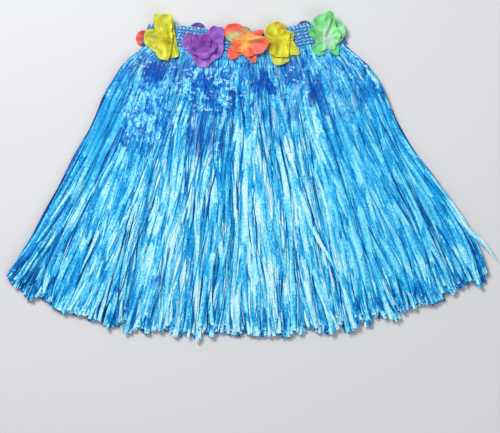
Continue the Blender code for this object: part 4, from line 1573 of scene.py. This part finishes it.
def crumple(x, y):
    """Shallow waves in three directions, as in cloth that was balled up."""
    waves = [np.sin(wave.x * x + wave.y * y + wave.start) for wave in CLOTH_WAVES]
    return sum(waves) / len(waves)


def blend_colour_spots(mesh, spot_rows, x, y):
    """Blends the dye spots into one colour for each point. The first one is the base."""
    far = [np.hypot(x - dye.x * MM, y - dye.y * MM) / (dye.spread * MM) for dye in spot_rows]
    weights = [np.exp(-(share**2)) for share in far]
    weights[0] = weights[0] * BASE_DYE
    paints = [np.array(paint(dye.red, dye.green, dye.blue)) for dye in spot_rows]
    colours = sum(weight[:, None] * colour for weight, colour in zip(weights, paints))
    colours = colours / sum(weights)[:, None]
    attribute = mesh.attributes.new("dye", "FLOAT_COLOR", "POINT")
    attribute.data.foreach_set("color", colours.astype(np.float32).ravel())


def cut_of(mesh):
    """Width, length and area of a sheet laid out flat again, in metres."""
    area = sum(face.area for face in mesh.polygons)
    plan = sum(face.area * abs(face.normal.z) for face in mesh.polygons)
    grown = math.sqrt(area / plan)
    x, y, _ = points_of(mesh)
    return (float(np.ptp(x) * grown), float(np.ptp(y) * grown)), float(area)


def sew_sheet(sheet, mesh, points, nodes):
    """Gives a charted layer its place, silk and wall, and prints its cut."""
    name = sheet.name + "_silk"
    piece = add_piece(name, mesh, points, silk[sheet.slot], nodes)
    face_sheet(piece, upwards=True)
    flat, area = cut_of(piece.data)
    give_wall(piece, SILK, 0)
    print(f"{name}: cut {flat[0] * 1000:.0f} x {flat[1] * 1000:.0f} mm, {area * 1e4:.1f} square cm")


# %% Shape the open layers
PETAL_COLUMNS = 180
PETAL_RINGS = 24


def make_layer(layer, nodes):
    """A petal layer: a shallow bowl with ruffles, creases, lapped petals and crumpling."""
    mesh = ring_chart(layer.name, PETAL_COLUMNS, PETAL_RINGS, capped=True)
    column, ring, _ = chart_of(mesh)
    share = ring / PETAL_RINGS
    heading = 360 * column / PETAL_COLUMNS
    angle = np.radians(heading)
    drift = RIM_DRIFT * np.sin(RIM_DRIFTS * angle)
    frill = 1 + RIM_FRILL * np.sin(RIM_WAVES * angle + drift) * share**4
    out = rim_reach(layer.rim, heading) * share * frill
    x, y = out * np.cos(angle), out * np.sin(angle)
    slope = out / BOWL_RADIUS
    height = layer.base + PETAL_WALL / 2 + layer.lift * slope**BOWL_CURVE
    height += FOLD_DEPTH * np.sin(BOWL_FOLDS * angle) * slope**2
    turn = layer.ruffles.count * angle + layer.ruffles.swirl * slope * math.tau
    height += layer.ruffles.height * np.sin(turn) * slope * share
    creases = crease_height(FOLDS.get(layer.name, ()), x, y) * np.minimum(slope * CREASE_RISE, 1)
    height += creases
    before_notch = (1 - petal_steps(layer.rim, heading)) ** 2
    height += PETAL_OVERLAP * before_notch * np.minimum(slope * LAP_RISE, 1) * share
    height += CLOTH_CRUMPLE * crumple(x + layer.centre.x, y) * np.minimum(slope * CRUMPLE_RISE, 1)
    points = np.stack([layer.centre.x + x, layer.centre.y + y, height], axis=1)
    blend_colour_spots(mesh, colour_spots_of(layer.name), x, y)
    # The fold value paints shade in the troughs of creases and ruffles and light on their ridges
    ruffle = np.sin(turn) * slope * share
    keep_values(mesh, fold=creases / CREASE_FULL + RUFFLE_SHADE * ruffle)
    keep_uv(mesh, "petal", column / PETAL_COLUMNS, share)
    sew_sheet(layer, mesh, points, nodes)


for layer in OPEN_LAYERS:
    make_layer(layer, [layer.name])
make_layer(PURPLE_HEART, [])

# %% [markdown]
# ## The flowers under the band
# Four flowers on the back panel lie pressed between it and the floor. Only one petal of each
# shows past the band. They are five broad petals round a middle, nearly flat.

# %% Shape the pressed flowers
PRESSED_REACH = 0.0225
PRESSED_COLUMNS = 120
PRESSED_RINGS = 8
PRESSED_PETALS = 5
NOTCH_DEPTH = 0.35
LOBE_ROUNDNESS = 0.5
PRESSED_HEIGHT = 0.0005
PRESSED_RIPPLE = 0.00022
RIPPLE_WAVES = 17
RIPPLE_LEAN = 60
PRESSED_FLOWERS = table(
    "name slot centre heading reach",
    ("back_red", "red", Centre(-0.1160, 0.0163), 178, 0.0290),
    ("back_purple_left", "purple", Centre(-0.0640, 0.0095), 90, 0.0285),
    ("back_green", "green", Centre(-0.0030, 0.0055), 92, 0.0275),
    ("back_purple_right", "purple", Centre(0.0755, 0.0124), 88, 0.0280),
)


def make_pressed(flower):
    """A nearly flat flower of five petals, one of them longer."""
    mesh = ring_chart(flower.name, PRESSED_COLUMNS, PRESSED_RINGS, capped=True)
    column, ring, _ = chart_of(mesh)
    share = ring / PRESSED_RINGS
    turn = PRESSED_PETALS * column / PRESSED_COLUMNS
    lobe = np.maximum(np.cos(math.pi * (turn - np.rint(turn))), 0.0) ** LOBE_ROUNDNESS
    full = np.where(np.rint(turn) % PRESSED_PETALS == 0, flower.reach, PRESSED_REACH)
    notch = PRESSED_REACH * (1 - NOTCH_DEPTH)
    out = share * between(notch, full, lobe)
    angle = np.radians(flower.heading + 360 / PRESSED_PETALS * turn)
    x, y = out * np.cos(angle), out * np.sin(angle)
    ripple = PRESSED_RIPPLE * np.sin(RIPPLE_WAVES * angle + RIPPLE_LEAN * out) * share
    points = np.stack([flower.centre.x + x, flower.centre.y + y, PRESSED_HEIGHT + ripple], axis=1)
    blend_colour_spots(mesh, colour_spots_of(flower.name), x, y)
    # The ripple's troughs are painted darker and its crests lighter, as shade and light
    keep_values(mesh, fold=ripple / PRESSED_RIPPLE * RUFFLE_SHADE)
    keep_uv(mesh, "petal", column / PRESSED_COLUMNS, share)
    sew_sheet(flower, mesh, points, [flower.name])


for flower in PRESSED_FLOWERS:
    make_pressed(flower)
